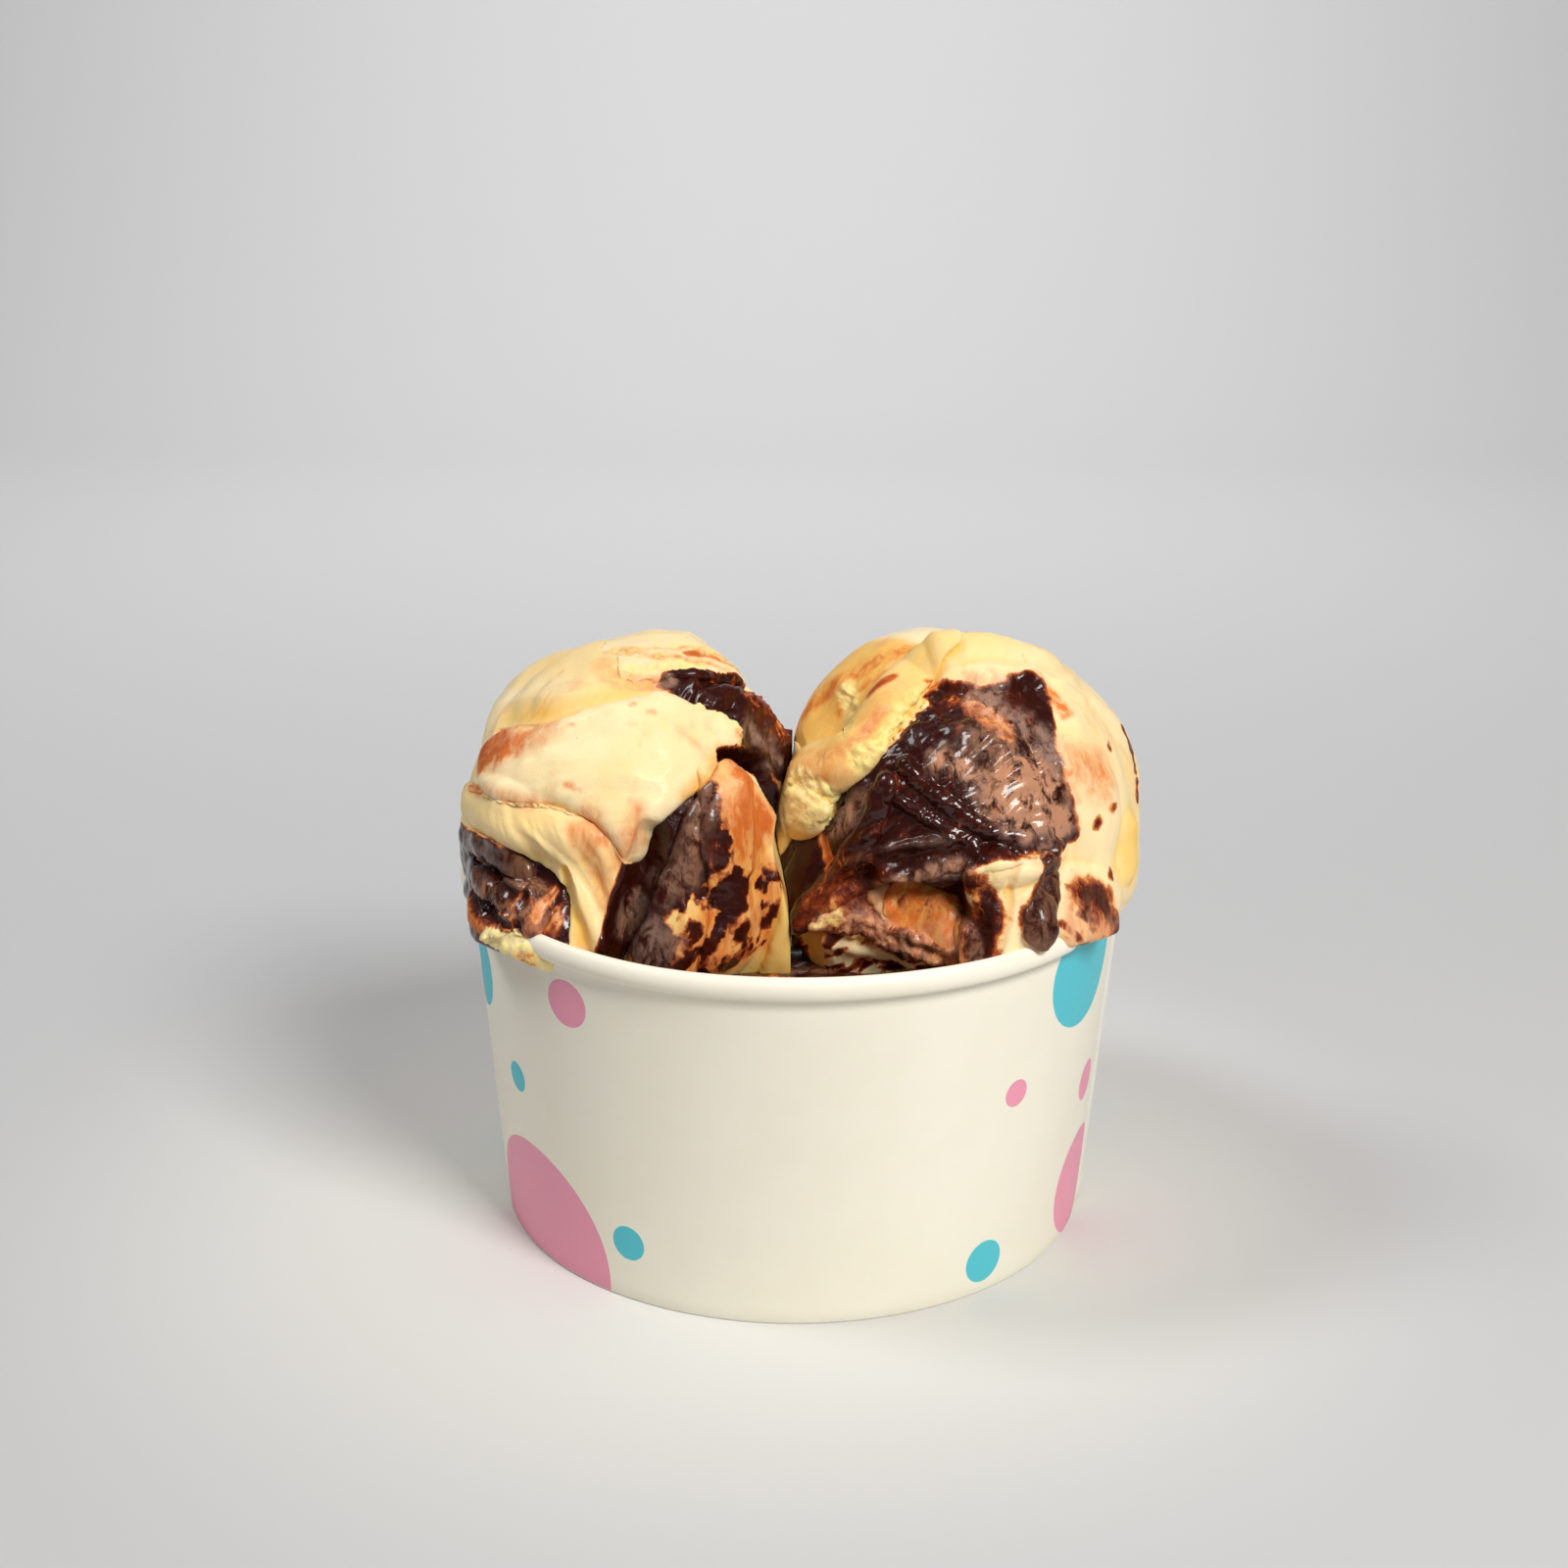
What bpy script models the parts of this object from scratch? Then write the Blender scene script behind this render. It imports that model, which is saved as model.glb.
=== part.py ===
"""A paper cup of custard gelato with two large scoops, rippled with chocolate fudge, standing on top.

Metres, +Z up. The origin is the centre of the cup's foot, and -Y is the side that is seen from the front.
The folds on a scoop are placed by two angles in degrees, seen from the scoop's middle: the first goes round
from the front (0) towards +X (90), and the second goes up from the level (0) to the top (90).
"""

import math

import bmesh
import bpy
import numpy as np

MM = 0.001

# Paper cup
FOOT_RADIUS = 42.0 * MM
SHOULDER_RADIUS = 46.0 * MM
SHOULDER_HEIGHT = 48.8 * MM
PAPER = 0.55 * MM
RIM_MIDDLE = (46.4 * MM, 50.35 * MM)
RIM_HALF_WIDTH = 1.1 * MM
RIM_HALF_HEIGHT = 1.6 * MM
RIM_STEPS = 12
FOLD_HEIGHT = 5.2 * MM
BASE_UNDERSIDE = 5.6 * MM
BASE_SKIRT_END = 0.9 * MM
BASE_THICKNESS = 0.6 * MM
SIDES = 64
GAP = 0.3 * MM

# Gelato that fills the cup below the scoops
BED_BOTTOM = BASE_UNDERSIDE + BASE_THICKNESS + GAP
BED_LEVEL = 42.5 * MM
BED_BANK = {"front": 4.0 * MM, "back": 1.2 * MM}
BED_WAVE = 0.8 * MM
BED_RINGS = 8

# Scoops
SCOOP_MIDDLE = {"left": (-23.0 * MM, -4.0 * MM, 59.0 * MM), "right": (23.6 * MM, -4.0 * MM, 60.0 * MM)}
SCOOP_HALF_SIZE = {"left": (23.2 * MM, 25.0 * MM, 24.4 * MM), "right": (23.8 * MM, 25.4 * MM, 24.0 * MM)}
SCOOP_FACES = 4700
SKIRT = {"left": 0.4 * MM, "right": 1.4 * MM}
FRONT_SKIRT = 5.0 * MM
SKIRT_ANGLES = (2, -28)
SEAM = -0.4 * MM
SEAM_BULGE = 2.4 * MM
SEAM_BULGE_HEIGHT = 61.0 * MM
SEAM_BULGE_SPREAD = 7.0 * MM
SEAM_FRONT = -8.0 * MM
OVERHANG_END = 46.4 * MM
CUTTER_RADIUS = 60.0 * MM
CUTTER_BOTTOM = -5.0 * MM

# Sheets of gelato that lie on a scoop: outline, thickness and width of the rounded edge in millimetres. A
# pair of thicknesses is for the sheet's left and right ends.
SHEETS = {
    "left": [
        # torn cap behind the top
        ([(-10, 76), (-8, 66), (28, 64), (60, 57), (88, 48), (115, 44), (150, 52), (-170, 66), (-90, 80)],
         (-0.4, 2.2), 1.6),
        # folds on the side that faces away
        ([(105, 30), (140, 40), (175, 44), (-145, 36), (-120, 14), (-140, -8), (-170, -2), (155, 8),
          (120, 12)],
         1.8, 2.4),
        ([(120, 8), (160, 2), (-165, -8), (-130, -14), (-110, -30), (-150, -44), (160, -40), (118, -24)],
         1.6, 2.0),
        # lower drape, running down to the rim
        ([(-53, 19), (-28, 20), (-9, 18), (3, 6), (8, -2), (5, -10), (2, -18), (-2, -30), (-4, -44),
          (-14, -44), (-11, -28), (-12, -13), (-16, -3), (-26, 2), (-38, 8), (-52, 5), (-76, 4), (-80, 16)],
         (0.7, 1.7), 2.0),
        # petal in front of the seam between the scoops
        ([(40, 30), (34, 29), (27, 23), (20, 16), (15, 8), (11, -2), (7, -12), (1, -22), (0, -42), (30, -48),
          (74, -46), (76, -22), (68, 0), (56, 8), (51, 15), (45, 25)],
         2.8, 2.4),
        # large front lobe, the topmost sheet
        ([(-58, 20), (-62, 29), (-58, 38), (-46, 43), (-33, 46), (-15, 52), (4, 56), (28, 57), (38, 51),
          (48, 46), (54, 38), (48, 33), (40, 34), (34, 31), (29, 25), (18, 20), (11, 15), (8, 4), (3, 3),
          (-4, 13), (-12, 19), (-28, 19), (-44, 18)],
         (2.6, 1.5), 2.2),
    ],
    "right": [
        # cream sheet over the top and down the right side
        ([(-42, 70), (-32, 62), (-22, 58), (-8, 58), (12, 59), (42, 55), (38, 42), (29, 32), (30, 22),
          (30, 4), (36, -8), (52, -20), (74, -22), (88, 0), (96, 30), (120, 55), (-170, 78), (-80, 78)],
         (2.3, 0.4), 3.6),
        # folds on the side that faces away
        ([(100, 26), (135, 44), (175, 50), (-135, 46), (-112, 20), (-130, 4), (-165, 10), (150, -2),
          (112, 4)],
         1.8, 2.4),
        ([(96, -2), (140, -8), (180, 2), (-140, -6), (-105, -4), (-112, -34), (-170, -46), (110, -40)],
         1.4, 1.8),
        # column of cream under the fudge slab
        ([(-4, 8), (18, 8), (21, -4), (17, -18), (16, -34), (0, -36), (-3, -20), (-2, -6)], 2.2, 1.6),
        # lower right bulge over the rim
        ([(20, -10), (38, -11), (46, -14), (50, -22), (48, -44), (26, -44), (18, -26)], 1.0, 2.4),
        # fudge slab
        ([(-12, 48), (4, 48), (16, 44), (22, 36), (22, 28), (26, 18), (27, 6), (16, 5), (-4, 2), (-14, -1),
          (-26, -5), (-36, -12), (-60, -24), (-66, -10), (-56, 2), (-45, 12), (-44, 22), (-33, 34),
          (-28, 43)],
         (1.2, 0.9), 2.6),
    ],
}

# Ropes, tucks and hollows: path, half width and height in millimetres, where a height below 0 cuts in. A pair
# of widths or heights is for the path's first and last place.
RIDGES = {
    "left": [
        ([(-118, 46), (-104, 36)], 9.0, 1.2),
        ([(-98, 18), (-94, 6)], 9.0, -1.4),
        ([(150, 66), (118, 62)], 8.0, 1.2),
        ([(114, 48), (106, 36)], 9.0, -1.8),
        ([(-40, -2), (-52, -10)], 9.0, 1.2),
        ([(-21, -24), (-27, -18), (-36, -20)], 7.0, 4.2),
        ([(-42, -24), (-74, -26)], 5.0, 1.0),
        ([(-92, 0), (-80, -8)], 8.0, 1.2),
        ([(-58, 1), (-46, 3), (-38, 2), (-31, -3)], 2.1, 1.5),
        ([(-46, -6), (-38, -8), (-31, -7), (-24, -9)], 2.2, 1.9),
        ([(64, -12), (68, -26), (60, -44)], 9.0, 3.6),
        ([(10, 12), (7, 1), (2, -10), (1, -24)], 2.4, -3.2),
        ([(39, 33.5), (46, 32), (52, 30), (58, 26)], (0.5, 2.2), (-2.0, -3.6)),
        ([(57, 25), (61, 16), (62, 8)], 2.0, -2.2),
        ([(33, 26), (31, 12), (31, -4), (28, -20)], 3.0, 1.5),
        ([(-58, 14), (-42, 14.5), (-28, 14), (-16, 12)], 4.2, 1.7),
        ([(-16, 2), (-14, -6), (-10, -14), (-7, -24)], (0.8, 1.8), -0.9),
        ([(-30, 14), (-18, 6), (-10, -6), (-4, -16)], (0.8, 2.0), (0.2, 1.0)),
        ([(50, -8), (50, -16), (52, -26), (54, -38)], (0.8, 3.4), (0.4, 1.8)),
        ([(62, -26), (70, -44)], 5.0, 1.4),
        ([(60, 46), (84, 40), (92, 28)], 5.5, 1.2),
        ([(34, 60), (56, 54), (76, 42), (84, 30)], 3.0, 0.9),
        ([(-14, 68), (10, 65), (28, 62)], 1.6, -0.8),
        ([(-66, 42), (-46, 47), (-33, 50), (-15, 56), (2, 60)], 3.4, -0.7),
        ([(118, -8), (140, -16), (165, -14)], 2.6, 1.4),
        ([(-96, 30), (-104, 8), (-96, -16)], 2.4, -1.2),
        ([(-150, 30), (-175, 24), (160, 26)], 1.8, -1.2),
    ],
    "right": [
        ([(-116, 56), (-112, 46), (-102, 32)], 13.0, 2.4),
        ([(-66, 64), (-78, 50)], 10.0, 0.8),
        ([(-80, 36), (-62, 34)], 4.5, -1.2),
        ([(112, 66), (124, 56), (116, 46)], 12.0, -0.6),
        ([(-32, 72), (-10, 77), (40, 76), (80, 64)], (4.6, 3.2), (2.2, 0.8)),
        ([(-26, 73), (-33, 69), (-43, 60), (-44, 50), (-43, 38), (-46, 30), (-54, 25), (-60, 20), (-61, 15)],
         (2.2, 5.7), (0.6, 4.4)),
        ([(-84, 10), (-76, 2)], 6.0, 1.6),
        ([(-34, -8), (-20, -10), (-12, -12), (-6, -12)], 3.8, -4.4),
        ([(-22, -11), (-14, -12), (-8, -14)], 2.5, 2.2),
        ([(-30, -28), (-14, -26)], 5.0, -1.6),
        ([(-70, -12), (-64, -26), (-50, -40)], 10.0, 4.0),
        ([(24, 4), (4, 4), (-14, 0), (-28, -5), (-42, -13), (-60, -24)], 2.4, 1.8),
        ([(-29, 24), (-31, 11), (-40, -2), (-46, -8), (-50, -17)], 1.6, 1.6),
        ([(9, 4), (9, -6), (8, -18)], 5.5, (0.2, 2.6)),
        ([(21, 1), (20, -4), (15, -11)], (1.4, 2.9), 1.2),
        ([(22, -11), (32, -11), (38, -14)], 5.0, 2.4),
        ([(66, 2), (66, -14)], 7.0, 0.5),
        ([(60, 4), (60, -2), (56, -6)], 2.4, 0.9),
        ([(88, 34), (84, 20)], 7.0, 0.7),
        ([(108, -4), (135, 2), (160, -6)], 2.6, 1.4),
        ([(-120, 30), (-150, 34), (175, 30)], 1.8, -1.2),
    ],
}

COLOURS = {
    "paper": (0.86, 0.83, 0.76, 1.0),
    "board": (0.80, 0.78, 0.72, 1.0),
    "custard": (0.90, 0.70, 0.34, 1.0),
    "ripple_left": (0.88, 0.66, 0.30, 1.0),
    "ripple_right": (0.62, 0.36, 0.18, 1.0),
}
ROUGHNESS = {"paper": 0.55, "board": 0.7, "custard": 0.42, "ripple_left": 0.4, "ripple_right": 0.3}


def clear_scene():
    for obj in list(bpy.data.objects):
        bpy.data.objects.remove(obj, do_unlink=True)


def material(name):
    made = bpy.data.materials.new(name)
    made.use_nodes = True
    shader = made.node_tree.nodes["Principled BSDF"]
    shader.inputs["Base Color"].default_value = COLOURS[name]
    shader.inputs["Roughness"].default_value = ROUGHNESS[name]
    return made


def place(name, mesh, finish):
    obj = bpy.data.objects.new(name, mesh)
    bpy.context.scene.collection.objects.link(obj)
    if finish:
        mesh.materials.append(material(finish))
        mesh.shade_smooth()
        mesh.set_sharp_from_angle(angle=math.radians(40))
    else:
        obj.hide_render = True
        obj.display_type = "WIRE"
    return obj


def turned(name, outline, finish=None, ends_on_axis=False):
    """A body turned round the Z axis. Each outline point is a radius and a height, and the height may be a
    function of x and y."""
    body = bmesh.new()
    rings = []
    for radius, height in outline:
        count = 1 if radius == 0 else SIDES
        ring = []
        for step in range(count):
            turn = 2 * math.pi * step / SIDES
            x, y = radius * math.cos(turn), radius * math.sin(turn)
            z = height(x, y) if callable(height) else height
            ring.append(body.verts.new((x, y, z)))
        rings.append(ring)
    pairs = list(zip(rings, rings[1:]))
    if not ends_on_axis:
        pairs.append((rings[-1], rings[0]))
    for low, high in pairs:
        for step in range(SIDES):
            after = (step + 1) % SIDES
            corners = [low[step % len(low)], low[after % len(low)]]
            corners += [high[after % len(high)], high[step % len(high)]]
            body.faces.new(list(dict.fromkeys(corners)))
    bmesh.ops.triangulate(body, faces=body.faces)
    bmesh.ops.recalc_face_normals(body, faces=body.faces)
    mesh = bpy.data.meshes.new(name)
    body.to_mesh(mesh)
    body.free()
    return place(name, mesh, finish)


def wall_outside(height):
    return FOOT_RADIUS + (SHOULDER_RADIUS - FOOT_RADIUS) * height / SHOULDER_HEIGHT


def wall_inside(height):
    return wall_outside(height) - PAPER


def rim_arc(grown, first, last, steps):
    """Points round the rolled rim, from the first angle to the last in degrees, on an oval grown by a
    clearance."""
    points = []
    for angle in np.linspace(math.radians(first), math.radians(last), steps):
        points.append((
            RIM_MIDDLE[0] + (RIM_HALF_WIDTH + grown) * math.cos(angle),
            RIM_MIDDLE[1] + (RIM_HALF_HEIGHT + grown) * math.sin(angle),
        ))
    return points


def cup_wall():
    """The tapered wall with its rolled rim, folded up inside at the foot to hold the base's skirt."""
    slot = BASE_THICKNESS + 2 * GAP
    chamfer = 0.4 * MM
    outline = [(FOOT_RADIUS - chamfer / 2, 0), (wall_outside(chamfer), chamfer)]
    outline += [(wall_outside(height), height) for height in (SHOULDER_HEIGHT / 2, SHOULDER_HEIGHT)]
    outline += rim_arc(0, -100, 180, RIM_STEPS)
    down = (SHOULDER_HEIGHT - chamfer, SHOULDER_HEIGHT / 2, PAPER)
    outline += [(wall_inside(height), height) for height in down]
    inner = wall_inside(PAPER) - slot
    outline += [(inner, PAPER), (inner, FOLD_HEIGHT), (inner - PAPER, FOLD_HEIGHT), (inner - PAPER, 0)]
    turned("cup_wall", outline, "paper")


def cup_base():
    """The recessed bottom disc, with the skirt that the wall's fold holds."""
    top = BASE_UNDERSIDE + BASE_THICKNESS
    outer = wall_inside(BASE_SKIRT_END) - GAP
    inner = outer - BASE_THICKNESS
    turned("cup_base", [
        (0, top), (outer, top), (outer, BASE_SKIRT_END), (inner, BASE_SKIRT_END), (inner, BASE_UNDERSIDE),
        (0, BASE_UNDERSIDE),
    ], "board", ends_on_axis=True)


def bed_height(x, y):
    """The top of the gelato in the cup: level under the scoops, banked up in front of and behind them."""
    away = min(max((abs(y + 4 * MM) - 15 * MM) / (20 * MM), 0), 1)
    bank = BED_BANK["front" if y < 0 else "back"] * away * away * (3 - 2 * away)
    wave = BED_WAVE * math.sin(x / (5 * MM) + 1) * math.cos(y / (6 * MM))
    return BED_LEVEL + bank + wave * away


def bed_top(clearance, outer):
    def height(x, y):
        return bed_height(x, y) + clearance

    return [(outer * ring / BED_RINGS, height) for ring in range(BED_RINGS + 1)]


def gelato_bed():
    outer = wall_inside(BED_LEVEL) - GAP
    outline = bed_top(0, outer) + [(wall_inside(BED_BOTTOM) - GAP, BED_BOTTOM), (0, BED_BOTTOM)]
    turned("gelato_bed", outline, "custard", ends_on_axis=True)


def room_cutter():
    """What a scoop may not enter: the bed below it, and the wall and rim beside it, with a gap all round."""
    inner = wall_inside(BED_LEVEL) - 1.5 * GAP
    shoulder = wall_inside(SHOULDER_HEIGHT) - GAP
    outline = bed_top(GAP, inner) + [(shoulder, SHOULDER_HEIGHT)]
    outline += rim_arc(GAP, 175, 0, RIM_STEPS)
    outline += [(RIM_MIDDLE[0] + RIM_HALF_WIDTH + GAP, OVERHANG_END), (CUTTER_RADIUS, OVERHANG_END)]
    outline += [(CUTTER_RADIUS, CUTTER_BOTTOM), (0, CUTTER_BOTTOM)]
    return turned("room_cutter", outline, ends_on_axis=True)


def bearing(around, up):
    """The unit direction at two angles in degrees."""
    a, h = math.radians(around), math.radians(up)
    return np.array([math.sin(a) * math.cos(h), -math.cos(a) * math.cos(h), math.sin(h)])


def flatten(middle, directions, radius):
    """Lays directions out flat round a middle direction, with distances as they are along the scoop."""
    side = np.array([-middle[1], middle[0], 0.0])
    side /= np.linalg.norm(side)
    over = np.cross(middle, side)
    x, y = directions @ side, directions @ over
    off = np.hypot(x, y)
    angle = np.arctan2(off, directions @ middle)
    scale = radius * angle / np.maximum(off, 1e-9)
    return np.stack([x * scale, y * scale], axis=1)


def rounded(corners, closed, times=2):
    """Cuts the corners of an outline, so that it runs in a smooth curve."""
    for _ in range(times):
        after = np.roll(corners, -1, axis=0) if closed else corners[1:]
        before = corners if closed else corners[:-1]
        cut = np.stack([0.75 * before + 0.25 * after, 0.25 * before + 0.75 * after], axis=1).reshape(-1, 2)
        corners = cut if closed else np.concatenate([corners[:1], cut, corners[-1:]])
    return corners


def distance_to(points, corners, closed):
    """Distance from each point to a line through the corners, above 0 only inside it if it is closed, and how
    far along the line its nearest place is, from 0 to 1."""
    ends = np.roll(corners, -1, axis=0) if closed else corners[1:]
    nearest = np.full(len(points), np.inf)
    share = np.zeros(len(points))
    inside = np.zeros(len(points), bool)
    for index, (start, end) in enumerate(zip(corners, ends)):
        run = end - start
        along = np.clip((points - start) @ run / (run @ run), 0, 1)
        gap = points - start - along[:, None] * run
        far = np.hypot(gap[:, 0], gap[:, 1])
        share = np.where(far < nearest, (index + along) / len(ends), share)
        nearest = np.minimum(nearest, far)
        if closed and run[1]:
            crosses = (start[1] > points[:, 1]) != (end[1] > points[:, 1])
            inside ^= crosses & (points[:, 0] < start[0] + run[0] * (points[:, 1] - start[1]) / run[1])
    signed = np.where(inside, nearest, -nearest) if closed else nearest
    return signed, share


def lay_out(path, directions, radius):
    """The path and the directions, both flat round the path's middle."""
    corners = np.array([bearing(*angles) for angles in path])
    middle = corners.mean(axis=0)
    middle /= np.linalg.norm(middle)
    return flatten(middle, corners, radius), flatten(middle, directions, radius)


def between(value, share):
    """A single value as it is, or of a pair what lies at a share of the way from the first to the second."""
    return np.interp(share, (0, 1), value) if isinstance(value, tuple) else value


def relief(side, directions):
    """How far each point of a scoop's surface stands out from its smooth oval, in metres."""
    radius = SCOOP_HALF_SIZE[side][2]
    out = np.zeros(len(directions))
    for outline, thickness, edge in SHEETS[side]:
        corners, points = lay_out(outline, directions, radius)
        signed, _ = distance_to(points, rounded(corners, True), True)
        depth = np.clip(signed / (edge * MM), 0, 1)
        ends = [bearing(*angles)[0] for angles in outline]
        thick = between(thickness, (directions[:, 0] - min(ends)) / (max(ends) - min(ends)))
        out += thick * MM * np.sqrt(1 - (1 - depth) ** 2)
    for path, half_width, height in RIDGES[side]:
        corners, points = lay_out(path, directions, radius)
        off, share = distance_to(points, rounded(corners, False), False)
        off = off / (between(half_width, share) * MM)
        out += between(height, share) * MM * np.sqrt(np.clip(1 - off * off, 0, 1))
    return out


def seam_between(points):
    """The x at which the scoops meet, bulging to the left where the right scoop's rolled lip pushes over."""
    rise = (points[:, 2] - SEAM_BULGE_HEIGHT) / SEAM_BULGE_SPREAD
    forward = np.clip((SEAM_FRONT - points[:, 1]) / (4 * MM) + 0.5, 0, 1)
    return SEAM - SEAM_BULGE * np.exp(-rise * rise) * forward


def scoop_surface(side, directions):
    half_size = np.array(SCOOP_HALF_SIZE[side])
    oval = 1 / np.linalg.norm(directions / half_size, axis=1)
    low, high = (math.sin(math.radians(angle)) for angle in SKIRT_ANGLES)
    skirt = np.clip((low - directions[:, 2]) / (low - high), 0, 1)
    spread = SKIRT[side] + FRONT_SKIRT * np.clip(-directions[:, 1], 0, 1) ** 2
    reach = oval + spread * skirt * skirt * (3 - 2 * skirt) + relief(side, directions)
    return np.array(SCOOP_MIDDLE[side]) + directions * reach[:, None]


def edit_points(mesh, change):
    points = np.empty(len(mesh.vertices) * 3, np.float32)
    mesh.vertices.foreach_get("co", points)
    mesh.vertices.foreach_set("co", change(points.reshape(-1, 3).astype(float)).astype(np.float32).ravel())
    mesh.update()


def apply_modifiers(obj):
    graph = bpy.context.evaluated_depsgraph_get()
    settled = bpy.data.meshes.new_from_object(obj.evaluated_get(graph))
    obj.modifiers.clear()
    obj.data = settled


def drop_scraps(mesh):
    """Keeps the largest connected body of a mesh."""
    body = bmesh.new()
    body.from_mesh(mesh)
    left = set(body.verts)
    groups = []
    while left:
        reached, waiting = set(), [left.pop()]
        while waiting:
            vert = waiting.pop()
            reached.add(vert)
            near = {edge.other_vert(vert) for edge in vert.link_edges} & left
            left -= near
            waiting.extend(near)
        groups.append(reached)
    largest = max(groups, key=len)
    bmesh.ops.delete(body, geom=[vert for vert in body.verts if vert not in largest], context="VERTS")
    bmesh.ops.triangulate(body, faces=body.faces)
    body.to_mesh(mesh)
    body.free()


def scoop(side, finish, cutter):
    """One scoop: an oval with its folds, thinned to few faces, parted from the other one and cut round the
    cup."""
    ball = bmesh.new()
    bmesh.ops.create_icosphere(ball, subdivisions=7, radius=1)
    mesh = bpy.data.meshes.new("gelato_" + side)
    ball.to_mesh(mesh)
    ball.free()

    def shape(points):
        return scoop_surface(side, points / np.linalg.norm(points, axis=1)[:, None])

    def part_from_other(points):
        seam = seam_between(points)
        if side == "left":
            points[:, 0] = np.minimum(points[:, 0], seam - GAP / 2)
        else:
            points[:, 0] = np.maximum(points[:, 0], seam + GAP / 2)
        return points

    edit_points(mesh, shape)
    edit_points(mesh, part_from_other)
    obj = place("gelato_" + side, mesh, finish)
    thin = obj.modifiers.new("fewer faces", "DECIMATE")
    thin.ratio = SCOOP_FACES / len(mesh.polygons)
    apply_modifiers(obj)
    edit_points(obj.data, part_from_other)
    cut = obj.modifiers.new("room for the cup", "BOOLEAN")
    cut.operation = "DIFFERENCE"
    cut.object = cutter
    apply_modifiers(obj)
    drop_scraps(obj.data)


clear_scene()
cup_wall()
cup_base()
gelato_bed()
room = room_cutter()
scoop("left", "ripple_left", room)
scoop("right", "ripple_right", room)
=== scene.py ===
"""The looks of a paper cup of custard gelato with two scoops rippled with chocolate fudge.

Metres, +Z up, the cup's foot centred on the origin and its shown face towards -Y. A place on a scoop is two
angles in degrees from the scoop's middle: round from the front (0) towards +X (90), and up from level (0).
Sheets, ropes and stains are laid on each scoop in order, the later ones on top of the earlier ones. A seed
fixes how one's edge strays or its streaks run.
"""

import collections
import itertools
import math

import bpy
import numpy as np
from mathutils import Matrix, Vector


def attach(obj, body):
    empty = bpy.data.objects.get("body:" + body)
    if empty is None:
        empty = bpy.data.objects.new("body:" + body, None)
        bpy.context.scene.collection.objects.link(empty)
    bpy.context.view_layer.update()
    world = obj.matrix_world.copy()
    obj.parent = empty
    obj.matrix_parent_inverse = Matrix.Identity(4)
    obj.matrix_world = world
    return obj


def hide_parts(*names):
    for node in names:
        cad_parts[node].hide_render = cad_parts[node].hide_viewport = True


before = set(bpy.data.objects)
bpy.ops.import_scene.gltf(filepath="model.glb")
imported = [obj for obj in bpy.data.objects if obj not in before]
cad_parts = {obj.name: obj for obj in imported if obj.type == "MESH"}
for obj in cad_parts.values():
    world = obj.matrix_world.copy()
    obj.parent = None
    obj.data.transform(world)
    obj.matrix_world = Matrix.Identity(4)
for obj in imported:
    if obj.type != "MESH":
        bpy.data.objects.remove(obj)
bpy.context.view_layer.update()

MM = 0.001

# Camera, as fitted to the cup's rim and foot
CAMERA_PLACE = (0.0, -0.3355, 0.1746)
CAMERA_DOWN = 18.54
CAMERA_LEFT = 0.28
CAMERA_ROLL = 0.37
CAMERA_LENS = 57.35
CAMERA_SENSOR = 36.0

# Cup
FOOT_RADIUS = 42.0 * MM
SHOULDER_RADIUS = 46.0 * MM
SHOULDER_HEIGHT = 48.8 * MM
PAPER = 0.55 * MM
RIM_MIDDLE = (46.4 * MM, 50.35 * MM)
RIM_HALF_WIDTH = 1.1 * MM
RIM_HALF_HEIGHT = 1.6 * MM
FOLD_HEIGHT = 5.2 * MM
SLOT = 1.2 * MM
LAP_START = 81.0
LAP_END = 93.0
LAP_STEP = 0.5 * MM
# Unevenness of the rim: height in millimetres, waves round it, and where they start
RIM_WAVES = [(0.10, 3, 0.6), (0.07, 7, 2), (0.05, 13, 0)]
# Pinches of the roll: degrees round from the front, spread in degrees, depth as a share
RIM_PINCHES = [(-13, 1.1, 0.55), (5, 0.7, 0.4)]
# Soft dent: degrees round from the front, spread in degrees, height, half height, and depth
DENT = (-24, 9, 41 * MM, 5 * MM, 0.35)
WALL_STEPS = 360

# Gelato
SCOOP_MIDDLE = {"left": (-23.0 * MM, -4.0 * MM, 59.0 * MM), "right": (23.6 * MM, -4.0 * MM, 60.0 * MM)}
SCOOP_HALF_SIZE = {"left": (23.2 * MM, 25.0 * MM, 24.4 * MM), "right": (23.8 * MM, 25.4 * MM, 24.0 * MM)}
SKIRT = {"left": 0.4 * MM, "right": 1.4 * MM}
FRONT_SKIRT = 5.0 * MM
SKIRT_ANGLES = (2, -28)
SEAM = -0.4 * MM
SEAM_GAP = 0.1 * MM
SEAM_BULGE = 2.4 * MM
SEAM_BULGE_HEIGHT = 61.0 * MM
SEAM_BULGE_SPREAD = 7.0 * MM
SEAM_FRONT = -8.0 * MM
SEAM_FRONT_BLEND = 4.0 * MM
WALL_GAP = 0.2 * MM
OVERHANG_END = {"left": 46.4 * MM, "right": 48.4 * MM}
OVERHANG_ROUND = 2.0 * MM
SCOOP_BOTTOM = 41.5 * MM
BALL_STEPS = 96
FRONT_PULL = 0.28
BED_LEVEL = 42.5 * MM
BED_BANK = {"front": 4.0 * MM, "back": 1.2 * MM}
BED_RINGS = 60
BED_SIDES = 300

FIELDS = ("fudge", "caramel", "milk", "wet", "torn", "warm")


# Directions and flat charts

def bearing(around, up):
    """The unit direction at two angles in degrees."""
    a, h = math.radians(around), math.radians(up)
    return np.array([math.sin(a) * math.cos(h), -math.cos(a) * math.cos(h), math.sin(h)])


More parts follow.
